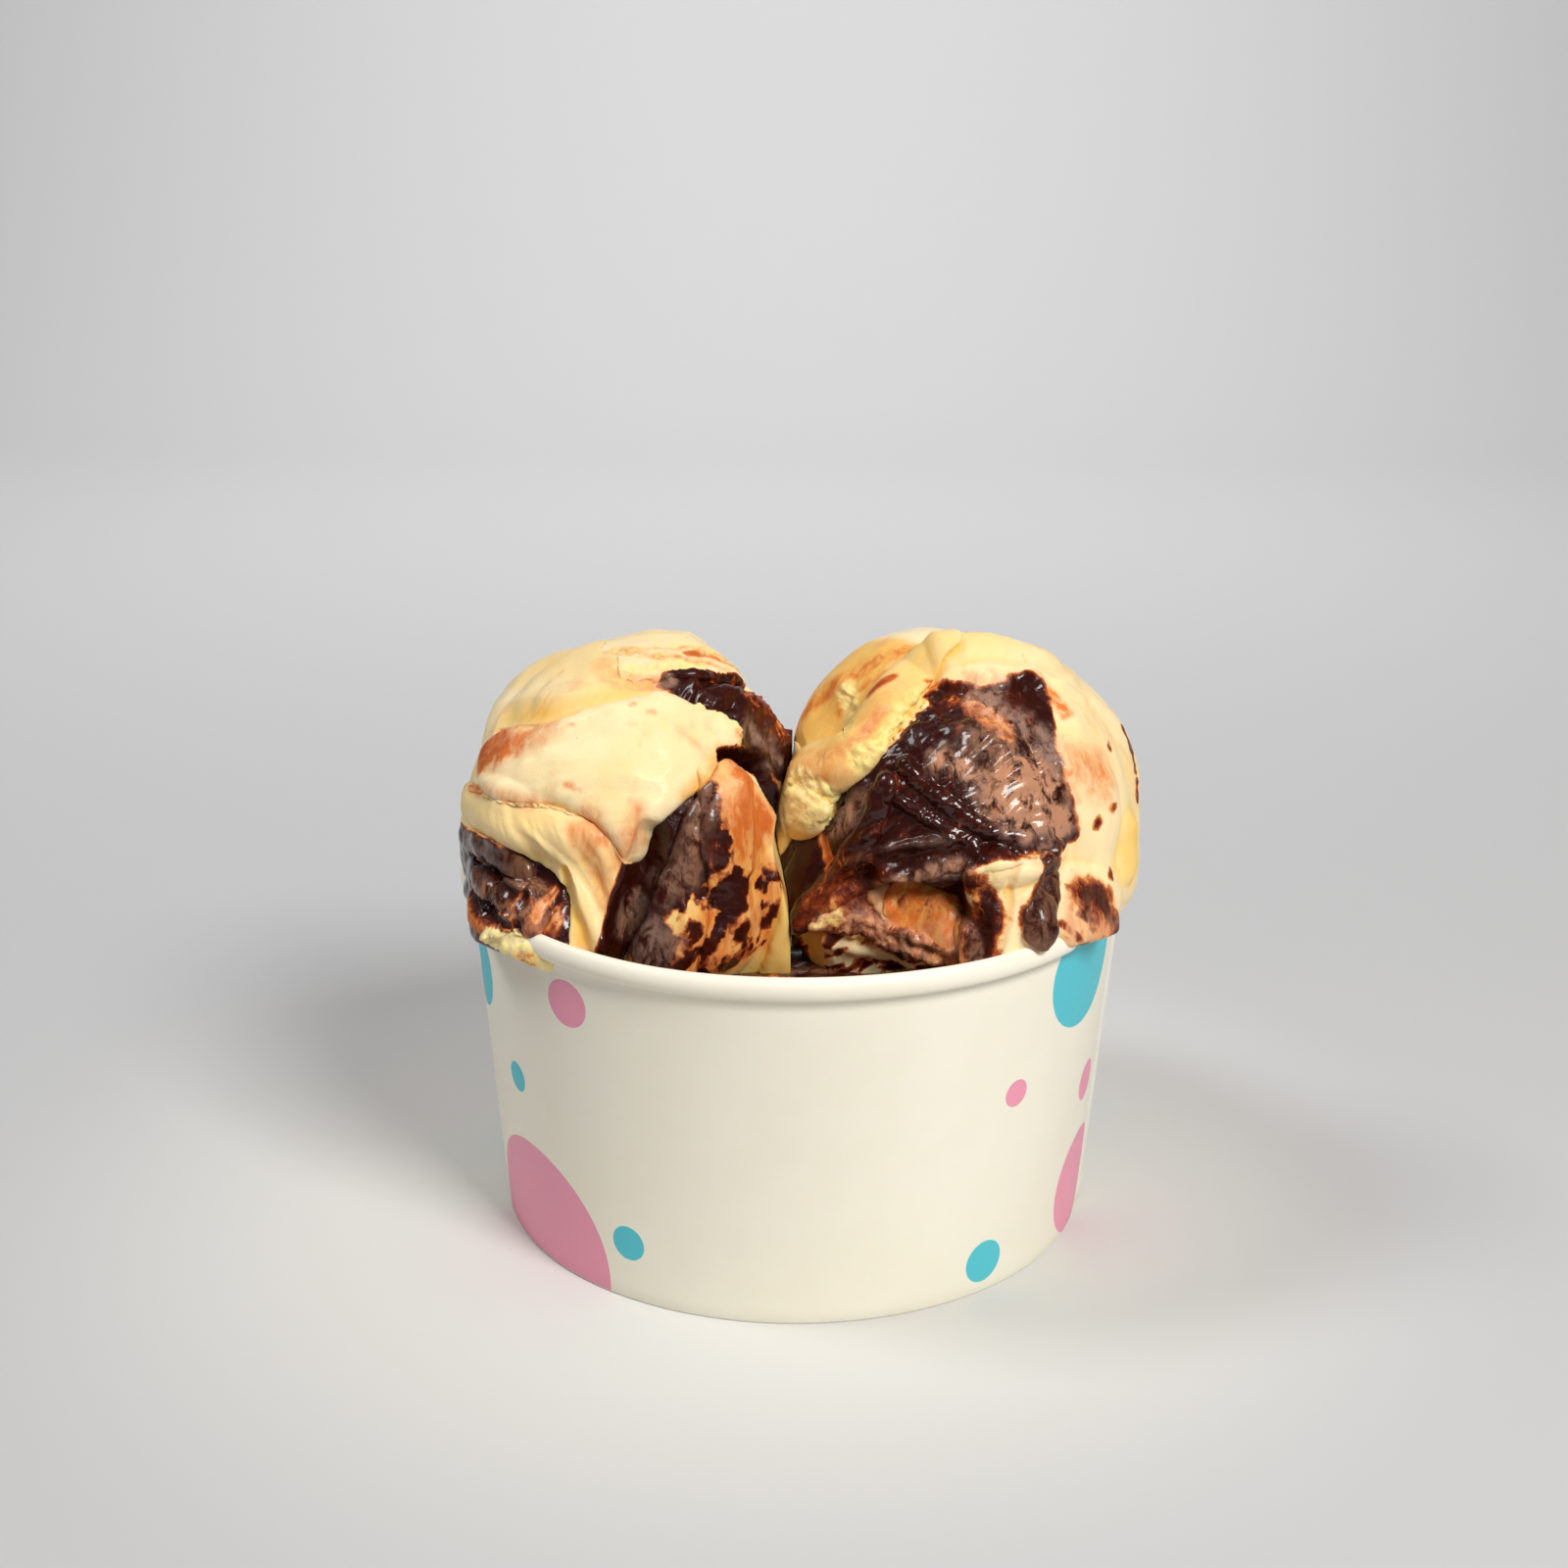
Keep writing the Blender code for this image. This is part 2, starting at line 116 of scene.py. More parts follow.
class Chart:
    """Lays a part of a ball out flat round a middle direction, with distances as they are along the ball."""

    def __init__(self, middle, radius):
        self.middle = middle / np.linalg.norm(middle)
        side = np.array([-self.middle[1], self.middle[0], 0.0])
        self.side = side / np.linalg.norm(side)
        self.over = np.cross(self.middle, self.side)
        self.radius = radius

    def flat(self, directions):
        """Where directions lie on the chart."""
        x, y = directions @ self.side, directions @ self.over
        off = np.hypot(x, y)
        angle = np.arctan2(off, directions @ self.middle)
        scale = self.radius * angle / np.maximum(off, 1e-9)
        return np.stack([x * scale, y * scale], axis=1)

    def back(self, flat):
        """The directions of places on the chart."""
        off = np.maximum(np.hypot(flat[:, 0], flat[:, 1]), 1e-12)
        angle = off / self.radius
        out = np.sin(angle) / off
        return (np.cos(angle)[:, None] * self.middle + (out * flat[:, 0])[:, None] * self.side
                + (out * flat[:, 1])[:, None] * self.over)


def rounded(corners, closed, times=2):
    """Cuts the corners of an outline, so that it runs in a smooth curve."""
    for _ in range(times):
        after = np.roll(corners, -1, axis=0) if closed else corners[1:]
        before = corners if closed else corners[:-1]
        cut = np.stack([0.75 * before + 0.25 * after, 0.25 * before + 0.75 * after], axis=1).reshape(-1, 2)
        corners = cut if closed else np.concatenate([corners[:1], cut, corners[-1:]])
    return corners


def nearest_on(points, corners, closed):
    """Signed distance to a line, above 0 inside it if it is closed, the way to its nearest point, and how far
    along the line that point is, from 0 to 1."""
    ends = np.roll(corners, -1, axis=0) if closed else corners[1:]
    best = np.full(len(points), np.inf)
    way = np.zeros_like(points)
    share = np.zeros(len(points))
    inside = np.zeros(len(points), bool)
    runs = list(zip(corners, ends))
    for index, (start, end) in enumerate(runs):
        run = end - start
        along = np.clip((points - start) @ run / (run @ run), 0, 1)
        to_line = start + along[:, None] * run - points
        far = np.hypot(to_line[:, 0], to_line[:, 1])
        closer = far < best
        best = np.where(closer, far, best)
        way[closer] = to_line[closer]
        share[closer] = (index + along[closer]) / len(runs)
        if closed and run[1]:
            crosses = (start[1] > points[:, 1]) != (end[1] > points[:, 1])
            inside ^= crosses & (points[:, 0] < start[0] + run[0] * (points[:, 1] - start[1]) / run[1])
    way /= np.maximum(best, 1e-9)[:, None]
    signed = np.where(inside, best, -best) if closed else best
    return signed, way, share


# Noise

def lattice(cells, seed):
    """A fixed value from -1 to 1 for each whole-numbered cell."""
    mixed = cells[:, 0] * 73856093 ^ cells[:, 1] * 19349663 ^ cells[:, 2] * 83492791 ^ (seed * 2654435761)
    mixed = (mixed ^ (mixed >> 13)) * 1274126177 & 0xFFFFFFFF
    return ((mixed ^ (mixed >> 16)) & 0xFFFF) / 32767.5 - 1


def noise(points, size, seed=0):
    """Smooth noise from -1 to 1 whose lumps are about as large as the given size."""
    scaled = points / size + 37.5
    cell = np.floor(scaled).astype(np.int64)
    part = scaled - cell
    part = part * part * (3 - 2 * part)
    total = np.zeros(len(points))
    for corner in itertools.product((0, 1), repeat=3):
        weight = np.prod(np.where(corner, part, 1 - part), axis=1)
        total += weight * lattice(cell + np.array(corner), seed)
    return total


def rough(points, size, octaves=3, seed=0):
    """Noise of a size, with finer noise of half the size and height added to it, and so on."""
    total = sum(noise(points, size / 2 ** n, seed + n) / 2 ** n for n in range(octaves))
    return total / (2 - 2 ** (1 - octaves))


def smooth(value, low, high):
    part = np.clip((value - low) / (high - low), 0, 1)
    return part * part * (3 - 2 * part)


def between(value, share):
    """A value or, for a pair, what lies between its two ends at a share of the way."""
    return np.interp(share, (0, 1), value) if isinstance(value, tuple) else value


# Balls of gelato

def ball(steps):
    """Directions spread evenly over a ball, and its triangles: an icosahedron with its edges cut in steps."""
    golden = (1 + math.sqrt(5)) / 2
    tips = [(-1, golden, 0), (1, golden, 0), (-1, -golden, 0), (1, -golden, 0),
            (0, -1, golden), (0, 1, golden), (0, -1, -golden), (0, 1, -golden),
            (golden, 0, -1), (golden, 0, 1), (-golden, 0, -1), (-golden, 0, 1)]
    tips = np.array(tips) / math.hypot(1, golden)
    edge = np.linalg.norm(tips[0] - tips[1]) * 1.01
    touching = np.linalg.norm(tips[:, None] - tips[None], axis=2) < edge
    points, faces = [], []
    for a, b, c in itertools.combinations(range(12), 3):
        if not (touching[a, b] and touching[b, c] and touching[a, c]):
            continue
        if np.linalg.det(tips[[a, b, c]]) < 0:
            b, c = c, b
        first = sum(len(group) for group in points)
        rows, columns = np.array([(r, k) for r in range(steps + 1) for k in range(r + 1)]).T
        points.append(((steps - rows)[:, None] * tips[a] + (rows - columns)[:, None] * tips[b]
                       + columns[:, None] * tips[c]) / steps)
        number = rows * (rows + 1) // 2 + columns + first
        grid = {(r, k): n for r, k, n in zip(rows.tolist(), columns.tolist(), number.tolist())}
        for r in range(steps):
            for k in range(r + 1):
                faces.append((grid[r, k], grid[r + 1, k], grid[r + 1, k + 1]))
                if k < r:
                    faces.append((grid[r, k], grid[r + 1, k + 1], grid[r, k + 1]))
    points = np.concatenate(points)
    points /= np.linalg.norm(points, axis=1)[:, None]
    _, kept, place = np.unique(np.round(points * 1e6).astype(np.int64), axis=0, return_index=True,
                               return_inverse=True)
    return points[kept], place.reshape(-1)[np.array(faces)]


def vertex_normals(points, faces):
    corners = points[faces]
    across = np.cross(corners[:, 1] - corners[:, 0], corners[:, 2] - corners[:, 0])
    total = np.zeros_like(points)
    for corner in range(3):
        for axis in range(3):
            total[:, axis] += np.bincount(faces[:, corner], across[:, axis], len(points))
    return total / np.maximum(np.linalg.norm(total, axis=1), 1e-12)[:, None]


def hollow_depth(points, faces, normals, rounds=40):
    """How deep each point lies below the surface round about it, in metres."""
    corners = faces.ravel()
    count = np.bincount(corners, minlength=len(points))[:, None]
    eased = points
    for _ in range(rounds):
        middles = np.repeat(eased[faces].mean(axis=1), 3, axis=0)
        sums = [np.bincount(corners, middles[:, axis], len(points)) for axis in range(3)]
        eased = np.stack(sums, axis=1) / count
    return np.sum((eased - points) * normals, axis=1)


Touched = collections.namedtuple("Touched", "chart near flat depth way share")


class Gelato:
    """A scoop in the making: directions from its middle, how far each stands out, and its painted fields.
    The field fudge is a depth in millimetres into a fudge stain, below 0 outside. The others run from 0 to 1.
    Sizes of layers are in millimetres."""

    def __init__(self, side):
        self.side = side
        self.radius = SCOOP_HALF_SIZE[side][2]
        even, self.faces = ball(BALL_STEPS)
        pulled = even + FRONT_PULL * bearing(0, 30)
        self.directions = pulled / np.linalg.norm(pulled, axis=1)[:, None]
        self.out = np.zeros(len(even))
        self.fields = {name: np.zeros(len(even)) for name in FIELDS}
        self.fields["fudge"] -= 9

    def lay_out(self, path, reach, closed):
        """A chart round a path, the points near enough to be touched, their places on the chart, and how they
        lie to the path."""
        corners = np.array([bearing(*angles) for angles in path])
        chart = Chart(corners.mean(axis=0), self.radius)
        corners = chart.flat(corners)
        limit = (np.hypot(*corners.T).max() + reach) / self.radius
        near = np.flatnonzero(self.directions @ chart.middle > math.cos(min(limit, 2.6)))
        flat = chart.flat(self.directions[near])
        return Touched(chart, near, flat, *nearest_on(flat, rounded(corners, closed), closed))

    def stray(self, near, size, ragged, seed):
        """How far an edge strays from its drawn line: in soft waves, and more finely where it is ragged."""
        places = self.directions[near] * self.radius
        waves = min(0.8, 0.3 * size) * noise(places, 6 * MM, seed + 3)
        if ragged:
            waves += ragged * (rough(places, 3.2 * MM, 3, seed) + 0.5 * rough(places, 0.9 * MM, 2, seed + 7))
        return waves * MM

    def paint(self, near, depth, soft, fields):
        """Paints fields where depth, in metres into the stain, is above 0. A fudge value above 0 adds fudge,
        and one below 0 covers it with custard: the further from 0, the sharper its edge."""
        for name, value in fields.items():
            now = self.fields[name][near]
            if name == "fudge" and value > 0:
                now = np.maximum(now, value * depth / MM)
            elif name == "fudge":
                now = np.minimum(now, value * depth / MM)
            else:
                now = now + (value - now) * smooth(depth, -soft * MM, soft * MM)
            self.fields[name][near] = now

    def patch(self, outline, soft=0.6, ragged=0.3, seed=1, **fields):
        """A flat stain inside an outline."""
        t = self.lay_out(outline, 3 * MM, True)
        self.paint(t.near, t.depth + self.stray(t.near, 2, ragged, seed), soft, fields)

    def line(self, path, half, soft=0.6, ragged=0.3, seed=1, **fields):
        """A flat stain along a path, with its half width."""
        t = self.lay_out(path, half * MM + 3 * MM, False)
        self.paint(t.near, half * MM - t.depth + self.stray(t.near, half, ragged, seed), soft, fields)

    def raise_edge(self, t, depth, outward, high, edge, under):
        """Raises what lies inside an edge, by a quarter circle, or more where the edge leans out over what is
        below by an angle. depth and edge are in metres, and both may be arrays, as the height may."""
        lean = math.radians(under)
        turn = np.clip(depth / edge, 0, 1) * (math.pi / 2 + lean) - lean
        share = (np.sin(turn) + math.sin(lean)) / (1 + math.sin(lean))
        self.out[t.near] += np.where(depth > 0, high * share, 0)
        if under:
            tuck = edge * (1 - math.cos(lean))
            inner = depth - edge * (1 - np.cos(turn))
            outer = -tuck * np.clip(1 + depth / edge, 0, 1) ** 2
            shift = np.where(depth > edge, 0, np.where(depth > 0, inner, outer))
            self.directions[t.near] = t.chart.back(t.flat + outward * shift[:, None])

    def sheet(self, outline, thick, edge, under=0, ragged=0, soft=0.3, seed=1, **fields):
        """A sheet of gelato laid on top, with a rounded edge. Its thickness may be a pair, left to right."""
        t = self.lay_out(outline, 2 * edge * MM + 2 * MM, True)
        outward = np.where((t.depth > 0)[:, None], t.way, -t.way)
        depth = t.depth + self.stray(t.near, 2.5, ragged, seed)
        self.paint(t.near, depth, soft, fields)
        if isinstance(thick, tuple):
            ends = [bearing(*angles)[0] for angles in outline]
            thick = np.interp(self.directions[t.near, 0], (min(ends), max(ends)), thick)
        self.raise_edge(t, depth, outward, thick * MM, edge * MM, under)

    def rope(self, path, half, high, under=0, ragged=0, soft=0.5, seed=1, cover=0, **fields):
        """A rope laid on top, or a tuck cut in where high is below 0. Half widths and heights may be pairs,
        for the path's two ends."""
        widest = np.max(half)
        t = self.lay_out(path, 2 * widest * MM + 3 * MM, False)
        wide, tall = MM * between(half, t.share), MM * between(high, t.share)
        depth = wide - t.depth + self.stray(t.near, widest, ragged, seed)
        self.paint(t.near, depth + cover * MM, soft, fields)
        self.raise_edge(t, depth, -t.way, tall, wide, under)

    def grain(self, outline, along, size, soft, seed, swerve, every):
        """Streaks inside an outline, drawn out along an angle in degrees, that swerve to and fro: the points,
        noise from -1 to 1, and how fully each point is covered."""
        t = self.lay_out(outline, 3 * MM, True)
        lean = math.radians(along)
        wave = swerve * MM * rough(self.directions[t.near] * self.radius, every * MM, 2, seed + 3)
        down = t.flat @ np.array([math.cos(lean), math.sin(lean)])
        over = t.flat @ np.array([-math.sin(lean), math.cos(lean)]) + wave
        places = np.stack([down / size[0], over / size[1], np.zeros(len(down))], axis=1)
        return t.near, rough(places, 1.0 * MM, 3, seed), smooth(t.depth, -soft * MM, soft * MM)

    def marble(self, outline, along, size=(4.0, 1.0), level=0.0, strength=2.2, soft=1.5, seed=1):
        """Streaks of fudge and custard folded together inside an outline, drawn out along an angle."""
        near, streak, share = self.grain(outline, along, size, soft, seed, 1.6, 6)
        now = self.fields["fudge"][near]
        self.fields["fudge"][near] = now + (np.clip(strength * (streak - level), -1.5, 1.5) - now) * share

    def ripple(self, outline, along, size=(6.0, 1.2), high=0.3, soft=2.0, seed=1, tone=0.0):
        """Low ridges inside an outline, drawn out along an angle, as a scoop's edge leaves them. With a tone,
        fudge is thinner on them."""
        near, ridge, share = self.grain(outline, along, size, soft, seed, 1.2, 7)
        self.out[near] += high * MM * ridge * share
        now = self.fields["fudge"][near]
        if tone:
            self.fields["fudge"][near] = np.where(now > 0, now + (0.95 - tone * ridge - now) * share, now)

    def surface(self):
        """The finished points: the oval with its skirt and relief, on its own side and inside the cup."""
        half_size = np.array(SCOOP_HALF_SIZE[self.side])
        d = self.directions
        oval = 1 / np.linalg.norm(d / half_size, axis=1)
        low, high = (math.sin(math.radians(angle)) for angle in SKIRT_ANGLES)
        skirt = smooth((low - d[:, 2]) / (low - high), 0, 1)
        spread = SKIRT[self.side] + FRONT_SKIRT * np.clip(-d[:, 1], 0, 1) ** 2
        points = np.array(SCOOP_MIDDLE[self.side]) + d * (oval + spread * skirt + self.out)[:, None]
        normals = vertex_normals(points, self.faces)
        torn, fudge = self.fields["torn"], smooth(self.fields["fudge"], -0.6, 0.6)
        # Low relief in millimetres: soft lumps and folds all over, sharper ones on fudge, crumbs where torn
        folds = np.array([1.0, 1.0, 0.45])
        lumps = 0.55 * rough(points, 8 * MM, 2, 11) + 0.26 * rough(points * folds, 3.2 * MM, 2, 12)
        cover = fudge * (1 - 0.6 * self.fields["milk"])
        lumps += cover * (0.42 * rough(points, 2.6 * MM, 2, 13) + 0.10 * rough(points, 1.0 * MM, 2, 14))
        crumbs = np.abs(rough(points, 1.5 * MM, 3, 15)) * 1.5 - 0.5
        lumps += torn * (0.8 * crumbs + 0.3 * rough(points, 3.0 * MM, 2, 16))
        points = points + normals * (lumps * MM)[:, None]
        # Painted shade and light: custard is painted warmer in hollows, as painted shade, and a little paler
        # on ridges, as painted light
        hollow = hollow_depth(points, self.faces, normals) / MM
        self.fields["warm"] += 0.55 * smooth(hollow, 0.02, 0.5) - 0.12 * smooth(-hollow, 0.15, 0.6)
        return self.fit(points)

    def fit(self, points):
        """Keeps points on their own side of the seam, above the scoop's hidden bottom and inside the wall."""
        rise = (points[:, 2] - SEAM_BULGE_HEIGHT) / SEAM_BULGE_SPREAD
        forward = np.clip((SEAM_FRONT - points[:, 1]) / SEAM_FRONT_BLEND + 0.5, 0, 1)
        seam = SEAM - SEAM_BULGE * np.exp(-rise * rise) * forward
        if self.side == "left":
            points[:, 0] = np.minimum(points[:, 0], seam - SEAM_GAP)
        else:
            points[:, 0] = np.maximum(points[:, 0], seam + SEAM_GAP)
        points[:, 2] = np.maximum(points[:, 2], SCOOP_BOTTOM)
        reach = np.hypot(points[:, 0], points[:, 1])
        room = wall_outside(points[:, 2]) - PAPER - WALL_GAP
        free = np.sqrt(np.clip((points[:, 2] - OVERHANG_END[self.side]) / OVERHANG_ROUND, 0, 1))
        held = room + (reach - room) * free
        points[:, :2] *= np.where(reach > room, held / np.maximum(reach, 1e-9), 1)[:, None]
        return points


def wall_outside(height):
    """The wall's outer radius at a height."""
    return FOOT_RADIUS + (SHOULDER_RADIUS - FOOT_RADIUS) * height / SHOULDER_HEIGHT


def make_mesh(name, points, faces, fields=None):
    """A smooth-shaded object from points and triangles or quads, with its fields as attributes."""
    mesh = bpy.data.meshes.new(name)
    count = faces.shape[1]
    mesh.vertices.add(len(points))
    mesh.vertices.foreach_set("co", points.astype(np.float32).ravel())
    mesh.loops.add(faces.size)
    mesh.loops.foreach_set("vertex_index", faces.astype(np.int32).ravel())
    mesh.polygons.add(len(faces))
    mesh.polygons.foreach_set("loop_start", np.arange(0, faces.size, count, dtype=np.int32))
    mesh.update(calc_edges=True)
    mesh.validate()
    mesh.shade_smooth()
    for field, values in (fields or {}).items():
        mesh.attributes.new(field, "FLOAT", "POINT").data.foreach_set("value", values.astype(np.float32))
    obj = bpy.data.objects.new(name, mesh)
    bpy.context.scene.collection.objects.link(obj)
    return obj


# The two scoops, layer by layer

def left_scoop():
    g = Gelato("left")
    g.patch([(-70, 60), (0, 52), (70, 60), (150, 40), (-130, 40)], 7, 0, seed=30, warm=0.5)
    g.rope([(-118, 46), (-104, 36)], 9.0, 1.2)
    g.rope([(-98, 18), (-94, 6)], 9.0, -1.4)
    g.rope([(150, 66), (118, 62)], 8.0, 1.2)
    g.rope([(114, 48), (106, 36)], 9.0, -1.8)
    g.rope([(-40, -2), (-52, -10)], 9.0, 1.2)
    g.rope([(-21, -24), (-27, -18), (-36, -20)], 7.0, 4.2)
    g.rope([(-42, -24), (-74, -26)], 5.0, 1.0)
    g.rope([(64, -12), (68, -26), (60, -44)], 9.0, 3.6)
    # folds on the side that faces away
    g.marble([(94, 50), (130, 46), (170, 50), (-150, 40), (-140, 26), (170, 30), (130, 26), (98, 34)], 14,
        (5.0, 1.3), level=0.12, strength=2.8, soft=2.5, seed=31)
    g.sheet([(105, 30), (140, 40), (175, 44), (-145, 36), (-120, 14), (-140, -8), (-170, -2), (155, 8),
        (120, 12)], 1.8, 2.4, under=25, ragged=0.5, seed=32, fudge=-2, warm=0.3)
    g.line([(106, 10), (140, 4), (175, -4), (-150, -10), (-128, -6)], 1.7, 0.6, 2.2, seed=33, fudge=0.9)
    g.line([(-150, 2), (-170, 6), (170, 10)], 1.2, 1.5, 1.6, seed=28, caramel=0.9)
    g.sheet([(120, 8), (160, 2), (-165, -8), (-130, -14), (-110, -30), (-150, -44), (160, -40), (118, -24)],
        1.6, 2.0, under=25, ragged=0.5, seed=34, fudge=-2, warm=0.2)
    g.rope([(118, -8), (140, -16), (165, -14)], 2.6, 1.4)
    g.rope([(-96, 30), (-104, 8), (-96, -16)], 2.4, -1.2, caramel=0.5)
    g.rope([(-150, 30), (-175, 24), (160, 26)], 1.8, -1.0, soft=2.0, ragged=1.2, seed=29, caramel=0.45)
    g.marble([(134, -8), (-170, -10), (-138, -20), (-140, -34), (170, -40), (130, -30)], 20, (5.0, 1.2),
        level=0.12, strength=2.6, soft=3.0, seed=35)
    g.marble([(-100, 40), (-128, 44), (-140, 24), (-118, 10), (-100, 18)], -30, level=0.25, seed=36)
    # torn cap behind the top, with a pinkish tuck in front of it
    g.sheet([(-10, 76), (-8, 66), (28, 64), (60, 57), (88, 48), (115, 44), (150, 52), (-170, 66),
        (-90, 80)], (-0.4, 2.2), 1.6, under=20, ragged=0.7, seed=51, warm=0.1)
    g.line([(-40, 82), (20, 82), (75, 76), (90, 62), (100, 52)], 0.7, 0.5, 1.2, seed=52, torn=0.7,
        caramel=0.8)
    g.line([(72, 70), (86, 62), (92, 54)], 0.5, 0.4, 1.0, seed=55, caramel=1.5)
    g.line([(-10, 70), (14, 70), (36, 68), (60, 64)], 1.4, 0.6, 0.6, seed=53, torn=0.7, warm=0.3)
    g.rope([(-14, 68), (10, 65), (28, 62)], 1.6, -0.8, milk=0.45, caramel=0.3)
    g.line([(-20, 84), (20, 80), (44, 74), (62, 68), (78, 58)], 0.6, 0.8, 1.8, seed=50, torn=0.6,
        caramel=1.0)
    g.line([(-30, 74), (-14, 68), (4, 64)], 1.2, 1.0, 0.6, seed=54, milk=0.35, caramel=0.3)
    g.rope([(60, 46), (84, 40), (92, 28)], 5.5, 1.2)
    # glossy fudge lump at the lower left, folded with runny custard; its milky streaks stand partly as
    # painted highlights
    g.patch([(-96, 2), (-64, 0), (-50, 7), (-36, 8), (-29, 4), (-22, 1), (-14, 2), (-10, -10), (-4, -20),
        (-22, -46), (-96, -46)], 0.6, 0.5, seed=41, fudge=2.0, wet=1.0, caramel=0.8)
    g.rope([(-58, 1), (-46, 3), (-38, 2), (-31, -3)], 2.1, 1.5, under=20, ragged=0.3, seed=42, milk=0.25,
        caramel=1.0)
    g.rope([(-92, 0), (-80, -8)], 8.0, 1.2)
    g.rope([(-46, -6), (-38, -8), (-31, -7), (-24, -9)], 2.2, 1.9, under=25, ragged=0.3, seed=43, milk=0.5,
        caramel=1.0)
    g.rope([(-48, -13), (-38, -14), (-30, -12)], 1.2, 1.1, under=20, ragged=0.3, seed=44, fudge=-0.5,
        caramel=1.6)
    g.rope([(-54, -3), (-44, -3), (-34, -4), (-26, -6)], 0.9, -1.3, fudge=2, milk=0)
    g.rope([(-48, -11), (-38, -11), (-26, -12)], 0.8, -1.1, fudge=2, milk=0)
    g.marble([(-28, -3), (-17, -3), (-12, -12), (-14, -18), (-26, -16), (-30, -9)], 70, (2.5, 0.8),
        level=-0.08, seed=45)
    g.rope([(-34, -15), (-28, -16), (-23, -17.5), (-18, -19.5)], 1.3, 1.0, under=15, ragged=0.9, seed=46,
        fudge=-2.5, torn=0.8, wet=0, caramel=0)
    g.line([(-24, -19), (-22, -19)], 0.8, 0.6, 0.5, seed=47, fudge=-2, caramel=1.3)
    # lower drape, running down to the rim
    g.sheet([(-53, 19), (-28, 20), (-9, 18), (3, 6), (8, -2), (5, -10), (2, -18), (-2, -30), (-4, -44),
        (-14, -44), (-11, -28), (-12, -13), (-16, -3), (-26, 2), (-38, 8), (-52, 5), (-76, 4), (-80, 16)],
        (0.7, 1.7), 2.0, under=25, ragged=0.3, seed=61, fudge=-3, wet=0.2, warm=0.4, milk=0, caramel=0)
    g.ripple([(-50, 18), (-10, 18), (6, 0), (0, -24), (-10, -24), (-14, -4), (-36, 8)], 118, (9.0, 1.6),
        0.6, seed=60)
    g.rope([(-16, 2), (-14, -6), (-10, -14), (-7, -24)], (0.8, 1.8), -0.9, warm=0.6)
    g.rope([(-30, 14), (-18, 6), (-10, -6), (-4, -16)], (0.8, 2.0), (0.2, 1.0))
    g.rope([(-8, 14), (-3, 2), (-1, -10)], 1.2, 0.5)
    g.line([(-12, 14), (-6, 4), (-3, -6)], 1.0, 1.2, 0.8, seed=59, caramel=0.7)
    g.line([(4, 2), (4, -5), (2, -12), (1, -18)], 0.9, 1.0, 0.6, seed=62, caramel=0.5, milk=0.3)
    # crevice between the lobe and the petal
    g.line([(26, 24), (17, 17), (9, 8), (6, -2), (3, -10), (1, -24)], 2.6, 0.6, 0.3, seed=63, fudge=3,
        wet=1.0, milk=0)
    g.rope([(10, 12), (7, 1), (2, -10), (1, -24)], 2.4, -3.2)
    # petal in front of the seam between the scoops; its milky strips stand partly as painted highlight
    g.sheet([(40, 30), (34, 29), (27, 23), (20, 16), (15, 8), (11, -2), (7, -12), (1, -22), (0, -42),
        (30, -48), (74, -46), (76, -22), (68, 0), (56, 8), (51, 15), (45, 25)], 2.8, 2.4, under=30,
        ragged=0.3, seed=64, fudge=-3, warm=0.7, wet=0.3, milk=0)
    g.patch([(36, 33), (24, 24), (14, 16), (6, 4), (2, -6), (0, -14), (12, -9), (20, -6), (30, -8), (32, 2),
        (29, 14), (32, 24)], 0.6, 0.9, seed=66, fudge=0.6, wet=0.6)
    g.patch([(2, -4), (10, -9), (18, -13), (15, -20), (4, -23), (-2, -14)], 0.6, 0.9, seed=68, fudge=1.4,
        milk=0.7, wet=0.5)
    g.patch([(40, 35), (31, 30), (29, 22), (30, 14), (31, 6), (36, 0), (44, 2), (50, 8), (49, 18),
        (45, 27)], 1.2, 0.8, seed=65, fudge=-0.9, caramel=1.3, warm=0.6)
    g.line([(30, 25), (26, 19), (22, 10), (19, 3), (12, -3)], 1.6, 1.5, 1.2, seed=67, milk=0.6, caramel=0.5)
    g.line([(27, 10), (24, 2), (26, -5)], 1.8, 1.2, 1.5, seed=69, fudge=0.9, caramel=1.4)
    g.marble([(14, -8), (22, -2), (30, 4), (44, 4), (60, -8), (56, -24), (40, -26), (30, -32), (14, -28)],
        60, (1.8, 1.2), level=0.1, strength=3.2, soft=1.2, seed=70)
    g.patch([(16, -14), (30, 2), (46, 4), (62, -10), (58, -22), (36, -28), (14, -26)], 1.5, 1.0, seed=71,
        caramel=0.9)
    g.rope([(33, 26), (31, 12), (31, -4), (28, -20)], 3.0, 1.5, under=10)
    g.ripple([(36, 33), (20, 14), (6, -12), (14, -28), (40, -28), (60, -8), (50, 12)], 95, (8.0, 1.4), 0.6,
        seed=58, tone=1.0)
    g.rope([(38, 25), (39, 12), (38, 0)], 1.0, 0.7)
    g.rope([(44, 22), (46, 10), (44, -2)], 1.0, -0.6)
    g.rope([(62, -26), (70, -44)], 5.0, 1.4)
    g.rope([(50, -8), (50, -16), (52, -26), (54, -38)], (0.8, 3.4), (0.4, 1.8), under=15, ragged=0.2,
        seed=72, fudge=-3, warm=1.0, caramel=0)
